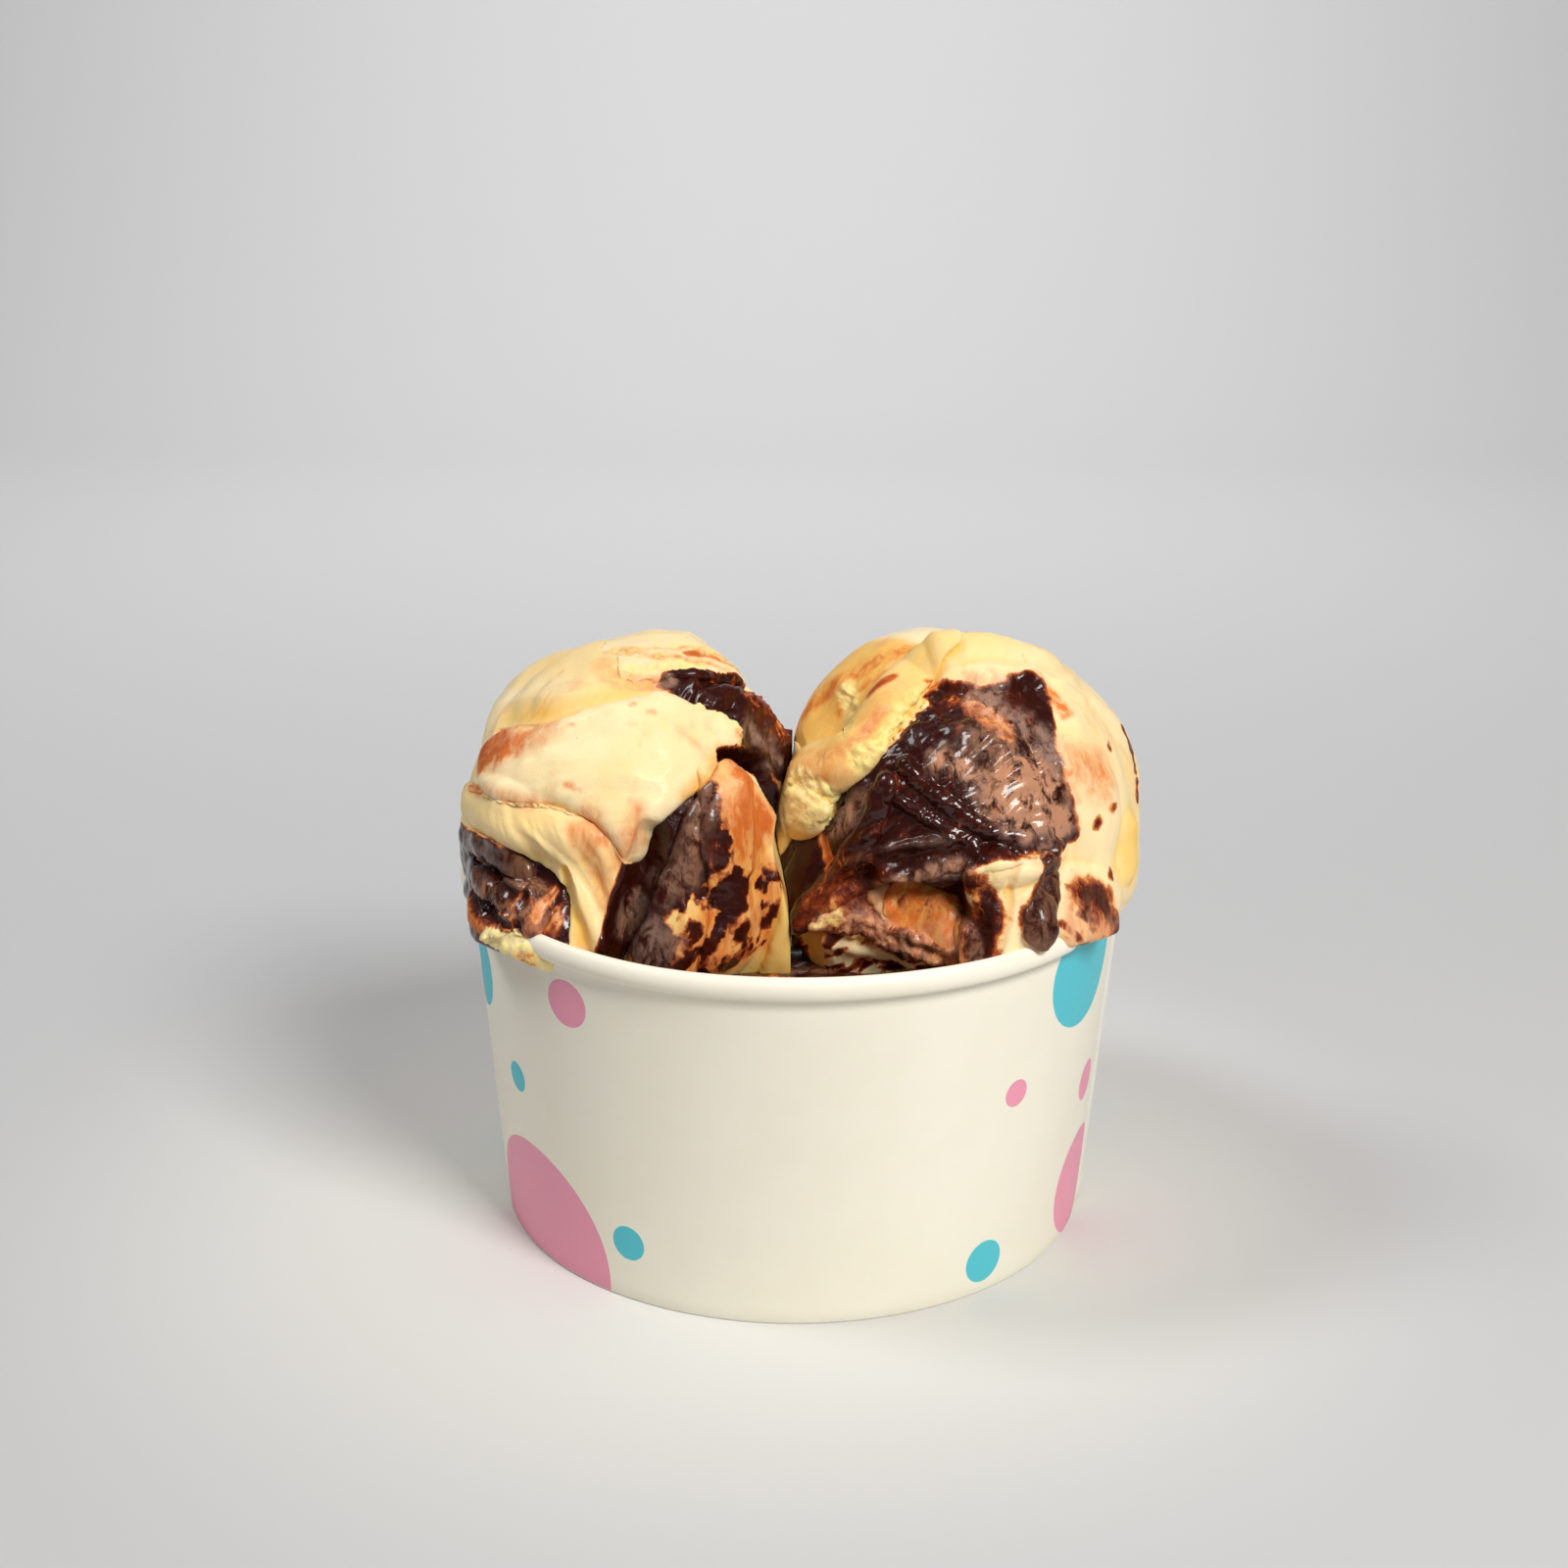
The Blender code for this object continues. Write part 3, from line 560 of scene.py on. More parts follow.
    # fudge ribbon that runs back over the shoulder into the seam
    g.patch([(25, 62), (33, 66), (48, 63), (71, 57), (92, 50), (100, 36), (94, 18), (78, 14), (64, 22),
        (54, 34), (46, 44), (36, 52), (30, 57)], 0.6, 0.8, seed=81, fudge=2.0, wet=0.35)
    g.rope([(34, 60), (56, 54), (76, 42), (84, 30)], 3.0, 0.9, ragged=0.5, seed=82)
    g.ripple([(26, 64), (50, 64), (92, 50), (98, 20), (76, 16), (54, 34), (34, 54)], 20, (4.0, 1.2), 0.9,
        soft=1.0, seed=86, tone=0.8)
    g.rope([(88, 46), (94, 34), (92, 24)], 1.6, 1.2, ragged=0.7, seed=79)
    g.line([(29, 62), (32, 62)], 0.9, 0.6, 0.6, seed=83, milk=0.9)
    g.line([(62, 37), (70, 31), (74, 24)], 1.5, 1.0, 1.2, seed=84, milk=1.0)
    g.line([(64, 24), (65, 18)], 1.4, 1.0, 1.0, seed=85, milk=1.0)
    g.line([(80, 46), (84, 36)], 0.8, 0.6, 1.0, seed=87, fudge=-0.15, caramel=1.0)
    g.patch([(40, 38), (56, 34), (64, 26), (58, 20), (48, 27), (38, 31)], 0.6, 0.4, seed=57, fudge=3,
        milk=0)
    g.rope([(57, 25), (61, 16), (62, 8)], 2.0, -2.2, fudge=4, wet=0.5, milk=0)
    # A groove above the lobe's upper edge, its custard painted warmer as painted shade
    g.rope([(-66, 42), (-46, 47), (-33, 50), (-15, 56), (2, 60)], 3.4, -0.7)
    g.line([(-70, 42), (-46, 48), (-33, 51), (-15, 57), (2, 61)], 2.0, 2.4, seed=88, warm=0.8)
    g.rope([(-58, 14), (-42, 14.5), (-28, 14), (-16, 12)], 4.2, 1.7)
    # large front lobe, the topmost sheet
    g.sheet([(-58, 20), (-62, 29), (-58, 38), (-46, 43), (-33, 46), (-15, 52), (4, 56), (28, 57), (38, 51),
        (48, 46), (54, 38), (48, 33), (40, 34), (34, 31), (29, 25), (18, 20), (11, 15), (8, 4), (3, 3),
        (-4, 13), (-12, 19), (-28, 19), (-44, 18)], (2.6, 1.5), 2.2, under=22, ragged=0.35, seed=91,
        fudge=-3, wet=0.15, warm=0.08, milk=0, caramel=0)
    g.ripple([(-56, 24), (-50, 40), (-10, 50), (26, 54), (44, 46), (40, 38), (18, 24), (0, 10), (-20, 22)],
        10, (9.0, 2.6), 0.5, seed=90)
    g.rope([(40, 50), (48, 46), (52, 39), (48, 35)], 0.8, 0.4, ragged=0.9, seed=89, torn=0.8)
    g.rope([(39, 33.5), (46, 32), (52, 30), (58, 26)], (0.5, 2.2), (-2.0, -3.6), ragged=0.35, seed=56,
        fudge=4, wet=0.5)
    # A shallow tuck along the lobe's upper-left edge, painted caramel as a painted shadow line
    g.rope([(-68, 36), (-57, 40), (-46, 42.5), (-34, 45), (-20, 49)], (0.9, 0.5), (-0.8, -0.2), caramel=0.6)
    g.patch([(-66, 28), (-64, 38), (-46, 43), (-30, 45), (-24, 42), (-34, 34), (-50, 27)], 1.6, 0.8,
        seed=92, caramel=0.85, milk=0.3)
    g.patch([(-62, 25), (-64, 37), (-54, 40), (-44, 38), (-38, 33), (-48, 28), (-54, 24)], 1.6, 1.3,
        seed=93, wet=0.4, caramel=1.7)
    g.rope([(-68, 17), (-58, 18), (-50, 18.5)], 0.45, (-0.5, -0.1), seed=94, cover=0.05, caramel=1.1)
    g.line([(-52, 19), (-40, 20), (-28, 20)], 0.6, 0.8, 0.5, seed=94, caramel=0.5)
    g.line([(-8, 18), (-5, 12), (-1, 6)], 1.2, 1.4, 1.0, seed=95, caramel=0.7)
    g.line([(6, 20), (4, 15), (5, 10)], 0.9, 1.2, 0.9, seed=96, caramel=0.8)
    g.line([(24, 42), (32, 34), (33, 28)], 0.5, 0.9, 0.5, seed=97, caramel=0.45)
    g.line([(50, 38), (53, 36)], 0.5, 0.6, 0.5, seed=98, caramel=1.0)
    g.line([(22, 22), (30, 29), (38, 35)], 0.7, 1.4, 0.6, seed=99, warm=0.9, caramel=0.35)
    for spot, (around, up) in enumerate([(-17, 26), (-14, 25), (-21, 44), (12, 49), (-30, 41), (4, 52)]):
        g.line([(around, up), (around + 2, up)], 0.25, 0.4, 0.4, seed=100 + spot, caramel=0.8)
    return g


def right_scoop():
    g = Gelato("right")
    # folds on the side that faces away
    g.marble([(92, 52), (130, 60), (175, 66), (-135, 58), (-128, 44), (175, 46), (130, 40), (96, 34)], -8,
        (5.0, 1.3), level=0.15, strength=2.8, soft=2.5, seed=131)
    g.sheet([(100, 26), (135, 44), (175, 50), (-135, 46), (-112, 20), (-130, 4), (-165, 10), (150, -2),
        (112, 4)], 1.8, 2.4, under=25, ragged=0.5, seed=132, fudge=-2, warm=0.3)
    g.line([(98, 4), (140, -2), (180, 6), (-150, 0), (-128, 2)], 1.7, 0.6, 2.2, seed=133, fudge=0.9)
    g.line([(150, 22), (172, 16), (-164, 18)], 1.0, 1.5, 1.6, seed=128, caramel=0.9)
    g.sheet([(96, -2), (140, -8), (180, 2), (-140, -6), (-105, -4), (-112, -34), (-170, -46), (110, -40)],
        1.4, 1.8, under=20, ragged=0.5, seed=134, fudge=-2, warm=0.2)
    g.rope([(108, -4), (135, 2), (160, -6)], 2.6, 1.4)
    g.rope([(-120, 30), (-150, 34), (175, 30)], 1.8, -1.0, soft=2.0, ragged=1.2, seed=127, caramel=0.45)
    g.marble([(116, -10), (180, -2), (-140, -10), (-130, -30), (-170, -40), (120, -36)], 10, (5.0, 1.2),
        level=0.18, strength=2.6, soft=3.0, seed=135)
    # streaked dome at the left
    g.rope([(-116, 56), (-112, 46), (-102, 32)], 13.0, 2.4)
    g.rope([(-66, 64), (-78, 50)], 10.0, 0.8)
    g.patch([(-40, 72), (-44, 50), (-46, 30), (-72, 18), (-84, 4), (-110, 10), (-116, 50), (-100, 70)], 1.5,
        0, seed=137, warm=1.0, caramel=0.18)
    g.line([(-64, 70), (-76, 56), (-86, 42), (-94, 26)], 1.3, 1.0, 1.4, seed=138, caramel=1.0)
    g.line([(-56, 66), (-66, 54), (-74, 40)], 0.8, 0.8, 1.0, seed=139, caramel=0.9)
    g.rope([(-80, 36), (-62, 34)], 4.5, -1.2)
    g.line([(-74, 46), (-62, 40), (-52, 36)], 1.6, 1.0, 1.0, seed=140, torn=0.8, caramel=0, warm=0.5)
    # cream sheet over the top and down the right side
    g.rope([(112, 66), (124, 56), (116, 46)], 12.0, -0.6)
    g.sheet([(-42, 70), (-32, 62), (-22, 58), (-8, 58), (12, 59), (42, 55), (38, 42), (29, 32), (30, 22),
        (30, 4), (36, -8), (52, -20), (74, -22), (88, 0), (96, 30), (120, 55), (-170, 78), (-80, 78)],
        (2.3, 0.4), 3.6, seed=141, fudge=-2, warm=0.15)
    g.ripple([(-30, 72), (-16, 60), (40, 58), (60, 40), (84, 40), (80, 64), (20, 80)], 20, (9.0, 1.8), 0.5,
        seed=130)
    g.rope([(0, 64), (40, 62), (64, 48)], 1.8, 0.5)
    g.line([(27, 32), (36, 29), (46, 25)], 3.0, 2.8, 0.6, seed=142, caramel=0.8)
    g.line([(82, 30), (80, 24), (76, 18)], 0.7, 0.6, 1.0, seed=143, fudge=2.0, wet=0.3)
    g.line([(76, 14), (73, 10)], 0.6, 0.6, 0.8, seed=149, fudge=2.0)
    g.rope([(60, 4), (60, -2), (56, -6)], 2.4, 0.9, soft=2.0, warm=0.8)
    g.rope([(50, 22), (46, 8), (42, -4)], 2.4, 0.6)
    g.patch([(27, -8), (32, -6), (38, -9), (39, -15), (33, -18), (27, -15)], 0.6, 0.9, seed=144, fudge=0.5,
        caramel=2.0, wet=0.3, milk=0.6)
    g.patch([(26, -6), (38, -5), (42, -12), (36, -19), (25, -16)], 1.5, 1.0, seed=148, caramel=0.9)
    for spot, (around, up) in enumerate([(43, -5), (47, 13), (40, 10), (60, 30)]):
        g.line([(around, up), (around + 1, up + 1)], 0.3, 0.4, 0.5, seed=250 + spot, fudge=1.0, caramel=1.5)
    # floor of the cave under the slab, its fudge partly real and partly painted shade under the slab's lip
    g.patch([(-66, 0), (-30, 4), (-4, 8), (0, -8), (2, -40), (-64, -44)], 0.6, 0.4, seed=161, fudge=1.2,
        wet=0.6)
    g.rope([(-30, -28), (-14, -26)], 5.0, -1.6)
    g.rope([(-70, -12), (-64, -26), (-50, -40)], 10.0, 4.0, fudge=1, wet=0.5)
    # A deep hollow at the cave's top, painted fudge partly as painted shade under the slab's lip
    g.rope([(-34, -8), (-20, -10), (-12, -12), (-6, -12)], 3.8, -4.4, fudge=2)
    g.marble([(-50, -17), (-34, -16), (-22, -18), (-8, -18), (2, -22), (0, -44), (-54, -44)], 24,
        (2.6, 0.8), level=0.1, strength=3.4, seed=162)
    g.rope([(-46, -18), (-36, -20), (-24, -23), (-12, -26)], 1.2, 1.0, ragged=0.5, seed=163)
    g.rope([(-44, -24), (-32, -26), (-18, -30)], 1.1, 0.9, ragged=0.5, seed=164)
    g.line([(-38, -20), (-26, -22), (-14, -24)], 1.5, 0.6, 1.2, seed=159, torn=0.9)
    g.line([(-46, -19), (-30, -18), (-14, -20), (-4, -20)], 1.8, 1.0, 1.4, seed=160, milk=0.8, caramel=1.0)
    g.rope([(-22, -11), (-14, -12), (-8, -14)], 2.5, 2.2, under=10, seed=165, fudge=-0.9, caramel=1.1,
        warm=1.0)
    g.marble([(-26, -8), (-10, -9), (-4, -14), (-8, -18), (-24, -16)], 60, (2.4, 0.9), level=0.2,
        strength=2.0, seed=151)
    g.rope([(-31, -11), (-27, -13)], 1.2, 1.6, ragged=0.4, seed=166, fudge=-2, warm=0.1)
    g.line([(-48, -22), (-52, -34)], 1.3, 0.8, 0.6, seed=167, fudge=-1.5, warm=0.9)
    g.rope([(-51, -20), (-46, -17), (-41, -16)], 0.9, 1.0, ragged=0.9, seed=168, fudge=-2.5, torn=1.0,
        wet=0)
    # column of cream under the slab
    g.sheet([(-4, 8), (18, 8), (21, -4), (17, -18), (16, -34), (0, -36), (-3, -20), (-2, -6)], 2.2, 1.6,
        under=20, ragged=0.35, seed=171, fudge=-3, wet=0.1, caramel=0)
    g.rope([(9, 4), (9, -6), (8, -18)], 5.5, (0.2, 2.6))
    g.line([(-8, 4), (-4, 3), (-2, 0)], 0.9, 0.6, 0.9, seed=173, fudge=0.5, caramel=1.0)
    g.line([(-6, -4), (-4, -9), (-2, -13)], 0.9, 0.6, 0.8, seed=174, fudge=1.2, wet=0.4)
    g.rope([(-2, -16), (-1, -21), (-1, -28)], 1.6, 1.2, under=10, ragged=0.4, seed=175, caramel=0.9,
        milk=0.35)
    g.line([(1, 5), (2, -4), (3, -14)], 1.0, 1.4, 1.0, seed=176, torn=0.5)
    g.line([(2, -4), (3, -9), (1, -14), (0, -20)], 1.0, 0.5, 1.2, seed=136, fudge=0.9, caramel=1.6, wet=0.3)
    g.rope([(11, 8), (8, 0), (8, -8), (5, -16)], (0.7, 0.4), (-0.3, -0.8), ragged=0.3, caramel=0.1)
    # lower right bulge over the rim
    g.sheet([(20, -10), (38, -11), (46, -14), (50, -22), (48, -44), (26, -44), (18, -26)], 1.0, 2.4,
        seed=177, warm=0.2)
    g.rope([(22, -11), (32, -11), (38, -14)], 5.0, 2.4)
    g.rope([(66, 2), (66, -14)], 7.0, 0.5)
    g.rope([(88, 34), (84, 20)], 7.0, 0.7)
    g.marble([(20, -9), (34, -10), (42, -11), (44, -18), (36, -24), (18, -24)], -30, (2.6, 0.9), level=0.16,
        strength=2.6, seed=178)
    g.patch([(20, -13), (32, -14), (42, -13), (38, -20), (22, -20)], 1.5, 1.2, seed=158, milk=1.1,
        caramel=0.6)
    g.patch([(26, -5), (34, -3), (41, -8), (40, -15), (34, -14), (30, -10)], 1.0, 1.2, seed=147, fudge=0.7,
        caramel=2.0, milk=0.1, wet=0.3)
    g.line([(27, 9), (23, 6), (21, 1)], 0.9, 0.6, 0.5, seed=179, fudge=1.8, wet=0.4)
    g.rope([(21, 1), (20, -4), (16, -9)], (1.4, 2.7), 1.2, under=15, ragged=0.5, seed=180, fudge=1.6,
        wet=0.6, milk=0.3, caramel=0.9)
    # fudge slab, with a milky film that in places, such as the glare at its right, stands as painted
    # highlight
    g.sheet([(-12, 48), (4, 48), (16, 44), (22, 36), (22, 28), (26, 18), (27, 6), (16, 5), (-4, 2),
        (-14, -1), (-26, -5), (-36, -12), (-60, -24), (-66, -10), (-56, 2), (-45, 12), (-44, 22), (-33, 34),
        (-28, 43)], (1.2, 0.9), 2.6, under=10, ragged=0.4, seed=181, wet=0.4)
    g.patch([(-28, 52), (-22, 58), (-10, 60), (4, 60), (20, 62), (34, 63), (44, 60), (44, 50), (33, 38),
        (31, 24), (33, 12), (33, 6), (15, 7), (0, 5), (-13, 0), (-24, -4), (-34, -11), (-49, -18),
        (-64, -12), (-68, 0), (-58, 10), (-52, 22), (-42, 30), (-36, 38)], 0.6, 0.6, seed=182, fudge=1.6,
        wet=0.6)
    g.patch([(-8, 44), (6, 48), (20, 46), (28, 40), (30, 34), (27, 26), (10, 28), (-4, 32)], 2.5, 2.0,
        seed=183, milk=0.5, caramel=0.9)
    # The pale milky glare at the slab's right: partly a real film, partly painted highlight
    g.patch([(2, 36), (20, 32), (31, 24), (33, 10), (20, 8), (8, 12), (0, 24)], 1.8, 1.8, seed=184,
        milk=2.0, caramel=0.9, wet=0.9)
    g.line([(4, 57), (8, 52), (14, 46)], 1.9, 1.4, 1.0, seed=153, milk=1.4, caramel=0.1)
    g.line([(-4, 59), (14, 61), (30, 62)], 0.6, 0.8, 0.8, seed=154, milk=0.7, caramel=0)
    g.patch([(22, 60), (32, 62), (42, 58), (41, 48), (34, 47), (27, 54)], 0.8, 0.8, seed=156, milk=0,
        caramel=0)
    g.line([(20, 48), (28, 40), (30, 32)], 1.6, 1.2, 1.0, seed=157, milk=1.0, caramel=0)
    g.line([(-2, 52), (6, 48), (12, 43)], 1.3, 1.2, 1.4, seed=185, fudge=-0.15, caramel=1.0)
    g.line([(-14, 34), (-4, 30), (4, 28)], 1.3, 1.0, 1.4, seed=186, milk=0.9, caramel=0.9)
    g.line([(-47, 6), (-40, 12), (-34, 18)], 1.3, 1.0, 1.2, seed=187, milk=0.9, caramel=0.6)
    g.line([(-52, 8), (-48, 0), (-46, -8)], 1.4, 1.0, 1.2, seed=155, caramel=1.6)
    g.line([(40, 60), (45, 54), (44, 46)], 0.8, 0.6, 0.8, seed=188, caramel=1.0)
    g.rope([(24, 4), (4, 4), (-14, 0), (-28, -5), (-42, -13), (-60, -24)], 2.4, 1.8, ragged=0.2, seed=189)
    g.rope([(-29, 24), (-31, 11), (-40, -2), (-46, -8), (-50, -17)], 1.6, 1.6, under=15, fudge=1.5, wet=1.0,
        milk=0)
    g.ripple([(-30, 40), (-44, 14), (-56, -10), (-34, -8), (0, 6), (24, 10), (30, 34), (10, 54), (-14, 50)],
        38, (6.0, 0.9), 0.7, seed=170, tone=1.15)
    g.rope([(-8, 10), (-22, 7), (-29, 4), (-36, -1)], 0.9, 0.8, milk=0.25)
    g.rope([(-24, 30), (-10, 20), (4, 12), (16, 10)], 1.2, 0.8, ragged=0.3, seed=190, wet=1.0)
    g.rope([(-26, 20), (-12, 14), (2, 7)], 0.9, 0.7, ragged=0.3, seed=191, wet=1.0)
    g.line([(-4, 3), (-14, 0), (-24, -4), (-33, -10)], 0.8, 0.6, 0.6, seed=192, milk=0.9, caramel=0.7)
    g.line([(-50, 1), (-47, -4)], 0.9, 0.6, 0.5, seed=193, fudge=-2, warm=0.4)
    g.line([(-40, -11), (-34, -12), (-28, -12)], 1.1, 0.6, 0.6, seed=194, fudge=-0.1, caramel=1.0)
    # rolled lip that runs down from the top to a torn end
    g.rope([(-32, 72), (-10, 77), (40, 76), (80, 64)], (4.6, 3.2), (2.2, 0.8))
    g.rope([(-26, 73), (-33, 69), (-43, 60), (-44, 50), (-43, 38), (-46, 30), (-54, 25), (-60, 20),
        (-61, 15)], (2.2, 5.7), (0.6, 4.4), under=35, cover=0.3, seed=195, fudge=-3, warm=0.8, caramel=0.15,
        milk=0, wet=0.2)
    g.line([(-44, 64), (-30, 72), (0, 78)], 3.4, 3.0, seed=129, warm=0.6, caramel=0)
    g.rope([(-84, 10), (-76, 2)], 6.0, 1.6, under=10, fudge=-3, warm=0.5)
    # Orange along the crease under the rolled lip: partly a caramel tint, partly painted shade
    g.line([(-40, 42), (-41, 36), (-44, 29), (-52, 24), (-64, 20)], 1.6, 1.4, 0.6, seed=196, caramel=0.8)
    g.line([(-54, 49), (-51, 53), (-47, 57)], 0.7, 0.5, 0.5, seed=197, caramel=2.0)
    g.line([(-28, 59), (-21, 61)], 0.4, 0.3, 0.4, seed=198, caramel=1.8)
    g.line([(-28, 52), (-33, 44), (-35, 36), (-39, 30)], 1.3, 0.8, 1.2, seed=199, fudge=-2, torn=1.0,
        caramel=0)
    g.patch([(-64, 18), (-54, 22), (-44, 20), (-43, 8), (-58, 3), (-65, 8)], 0.5, 0.9, seed=200, torn=1.0,
        warm=0.3, caramel=0)
    g.rope([(-46, 25), (-56, 22), (-66, 18)], 1.4, (0.3, 0.8), caramel=0.5)
    return g


# Materials

def srgb(red, green, blue):
    """A colour as it looks on a screen, each part from 0 to 255, as the linear colour that a shader takes."""
    parts = [part / 255 for part in (red, green, blue)]
    linear = (part / 12.92 if part <= 0.04045 else ((part + 0.055) / 1.055) ** 2.4 for part in parts)
    return (*linear, 1.0)


class Recipe:
    """A material, built up node by node."""

    def __init__(self, name):
        self.material = bpy.data.materials.new(name)
        self.material.use_nodes = True
        self.tree = self.material.node_tree
        self.shader = self.tree.nodes["Principled BSDF"]

    def feed(self, socket, value):
        if isinstance(value, bpy.types.NodeSocket):
            self.tree.links.new(value, socket)
        else:
            socket.default_value = value

    def node(self, kind, inputs, output=0, **settings):
        made = self.tree.nodes.new("ShaderNode" + kind)
        for name, value in settings.items():
            setattr(made, name, value)
        for name, value in inputs.items():
            self.feed(made.inputs[name], value)
        return made.outputs[output]

    def math(self, operation, *values, clamp=False):
        return self.node("Math", dict(enumerate(values)), operation=operation, use_clamp=clamp)

    def mix(self, share, first, second):
        return self.node("Mix", {0: share, 6: first, 7: second}, output=2, data_type="RGBA")

    def band(self, value, low, high, to_low=0.0, to_high=1.0):
        """Runs smoothly from one value to another as the input goes from low to high."""
        return self.node("MapRange", {0: value, 1: low, 2: high, 3: to_low, 4: to_high},
                         interpolation_type="SMOOTHSTEP")

    def field(self, name):
        return self.node("Attribute", {}, output="Fac", attribute_name=name)

    def place(self, stretch=(1, 1, 1), turn=(0, 0, 0)):
        """Where a point is, in metres, stretched and turned for a pattern that isn't the same each way."""
        where = self.node("TexCoord", {}, output="Object")
        if stretch == (1, 1, 1):
            return where
        return self.node("Mapping", {0: where, 2: tuple(math.radians(t) for t in turn), 3: stretch})

    def noise(self, size, detail=3.0, roughness=0.55, where=None, warp=0.0):
        """Noise from 0 to 1 with lumps of about a size in metres."""
        return self.node("TexNoise", {"Vector": where or self.place(), "Scale": 1 / size, "Detail": detail,
                                      "Roughness": roughness, "Distortion": warp})

    def ramp(self, value, stops):
        made = self.tree.nodes.new("ShaderNodeValToRGB")
        self.feed(made.inputs[0], value)
        points = made.color_ramp.elements
        while len(points) < len(stops):
            points.new(0.5)
        for point, (position, colour) in zip(points, stops):
            point.position = position
            point.color = colour
        return made.outputs[0]

    def bump(self, height, distance, strength=1.0, normal=None):
        inputs = {"Height": height, "Distance": distance, "Strength": strength}
        if normal:
            inputs["Normal"] = normal
        return self.node("Bump", inputs)

    def finish(self, **sockets):
        for name, value in sockets.items():
            self.feed(self.shader.inputs[name.replace("_", " ")], value)
        return self.material


CREAM = srgb(255, 229, 182)
CUSTARD = srgb(251, 203, 106)
CRUMB = srgb(255, 230, 146)
CARAMEL = srgb(222, 122, 50)
RUST = srgb(172, 68, 30)
STAINS = [(0.0, srgb(228, 156, 84)), (0.28, srgb(176, 92, 46)), (0.5, srgb(124, 48, 22)),
          (0.68, srgb(78, 26, 13)), (1.0, srgb(50, 13, 6))]
# Milky film colours, which also serve as painted highlight and sheen on the fudge
MILK_FILM_AND_SHEEN = {"grey": srgb(156, 122, 106), "brown": srgb(208, 148, 112), "pink": srgb(232, 172, 132)}


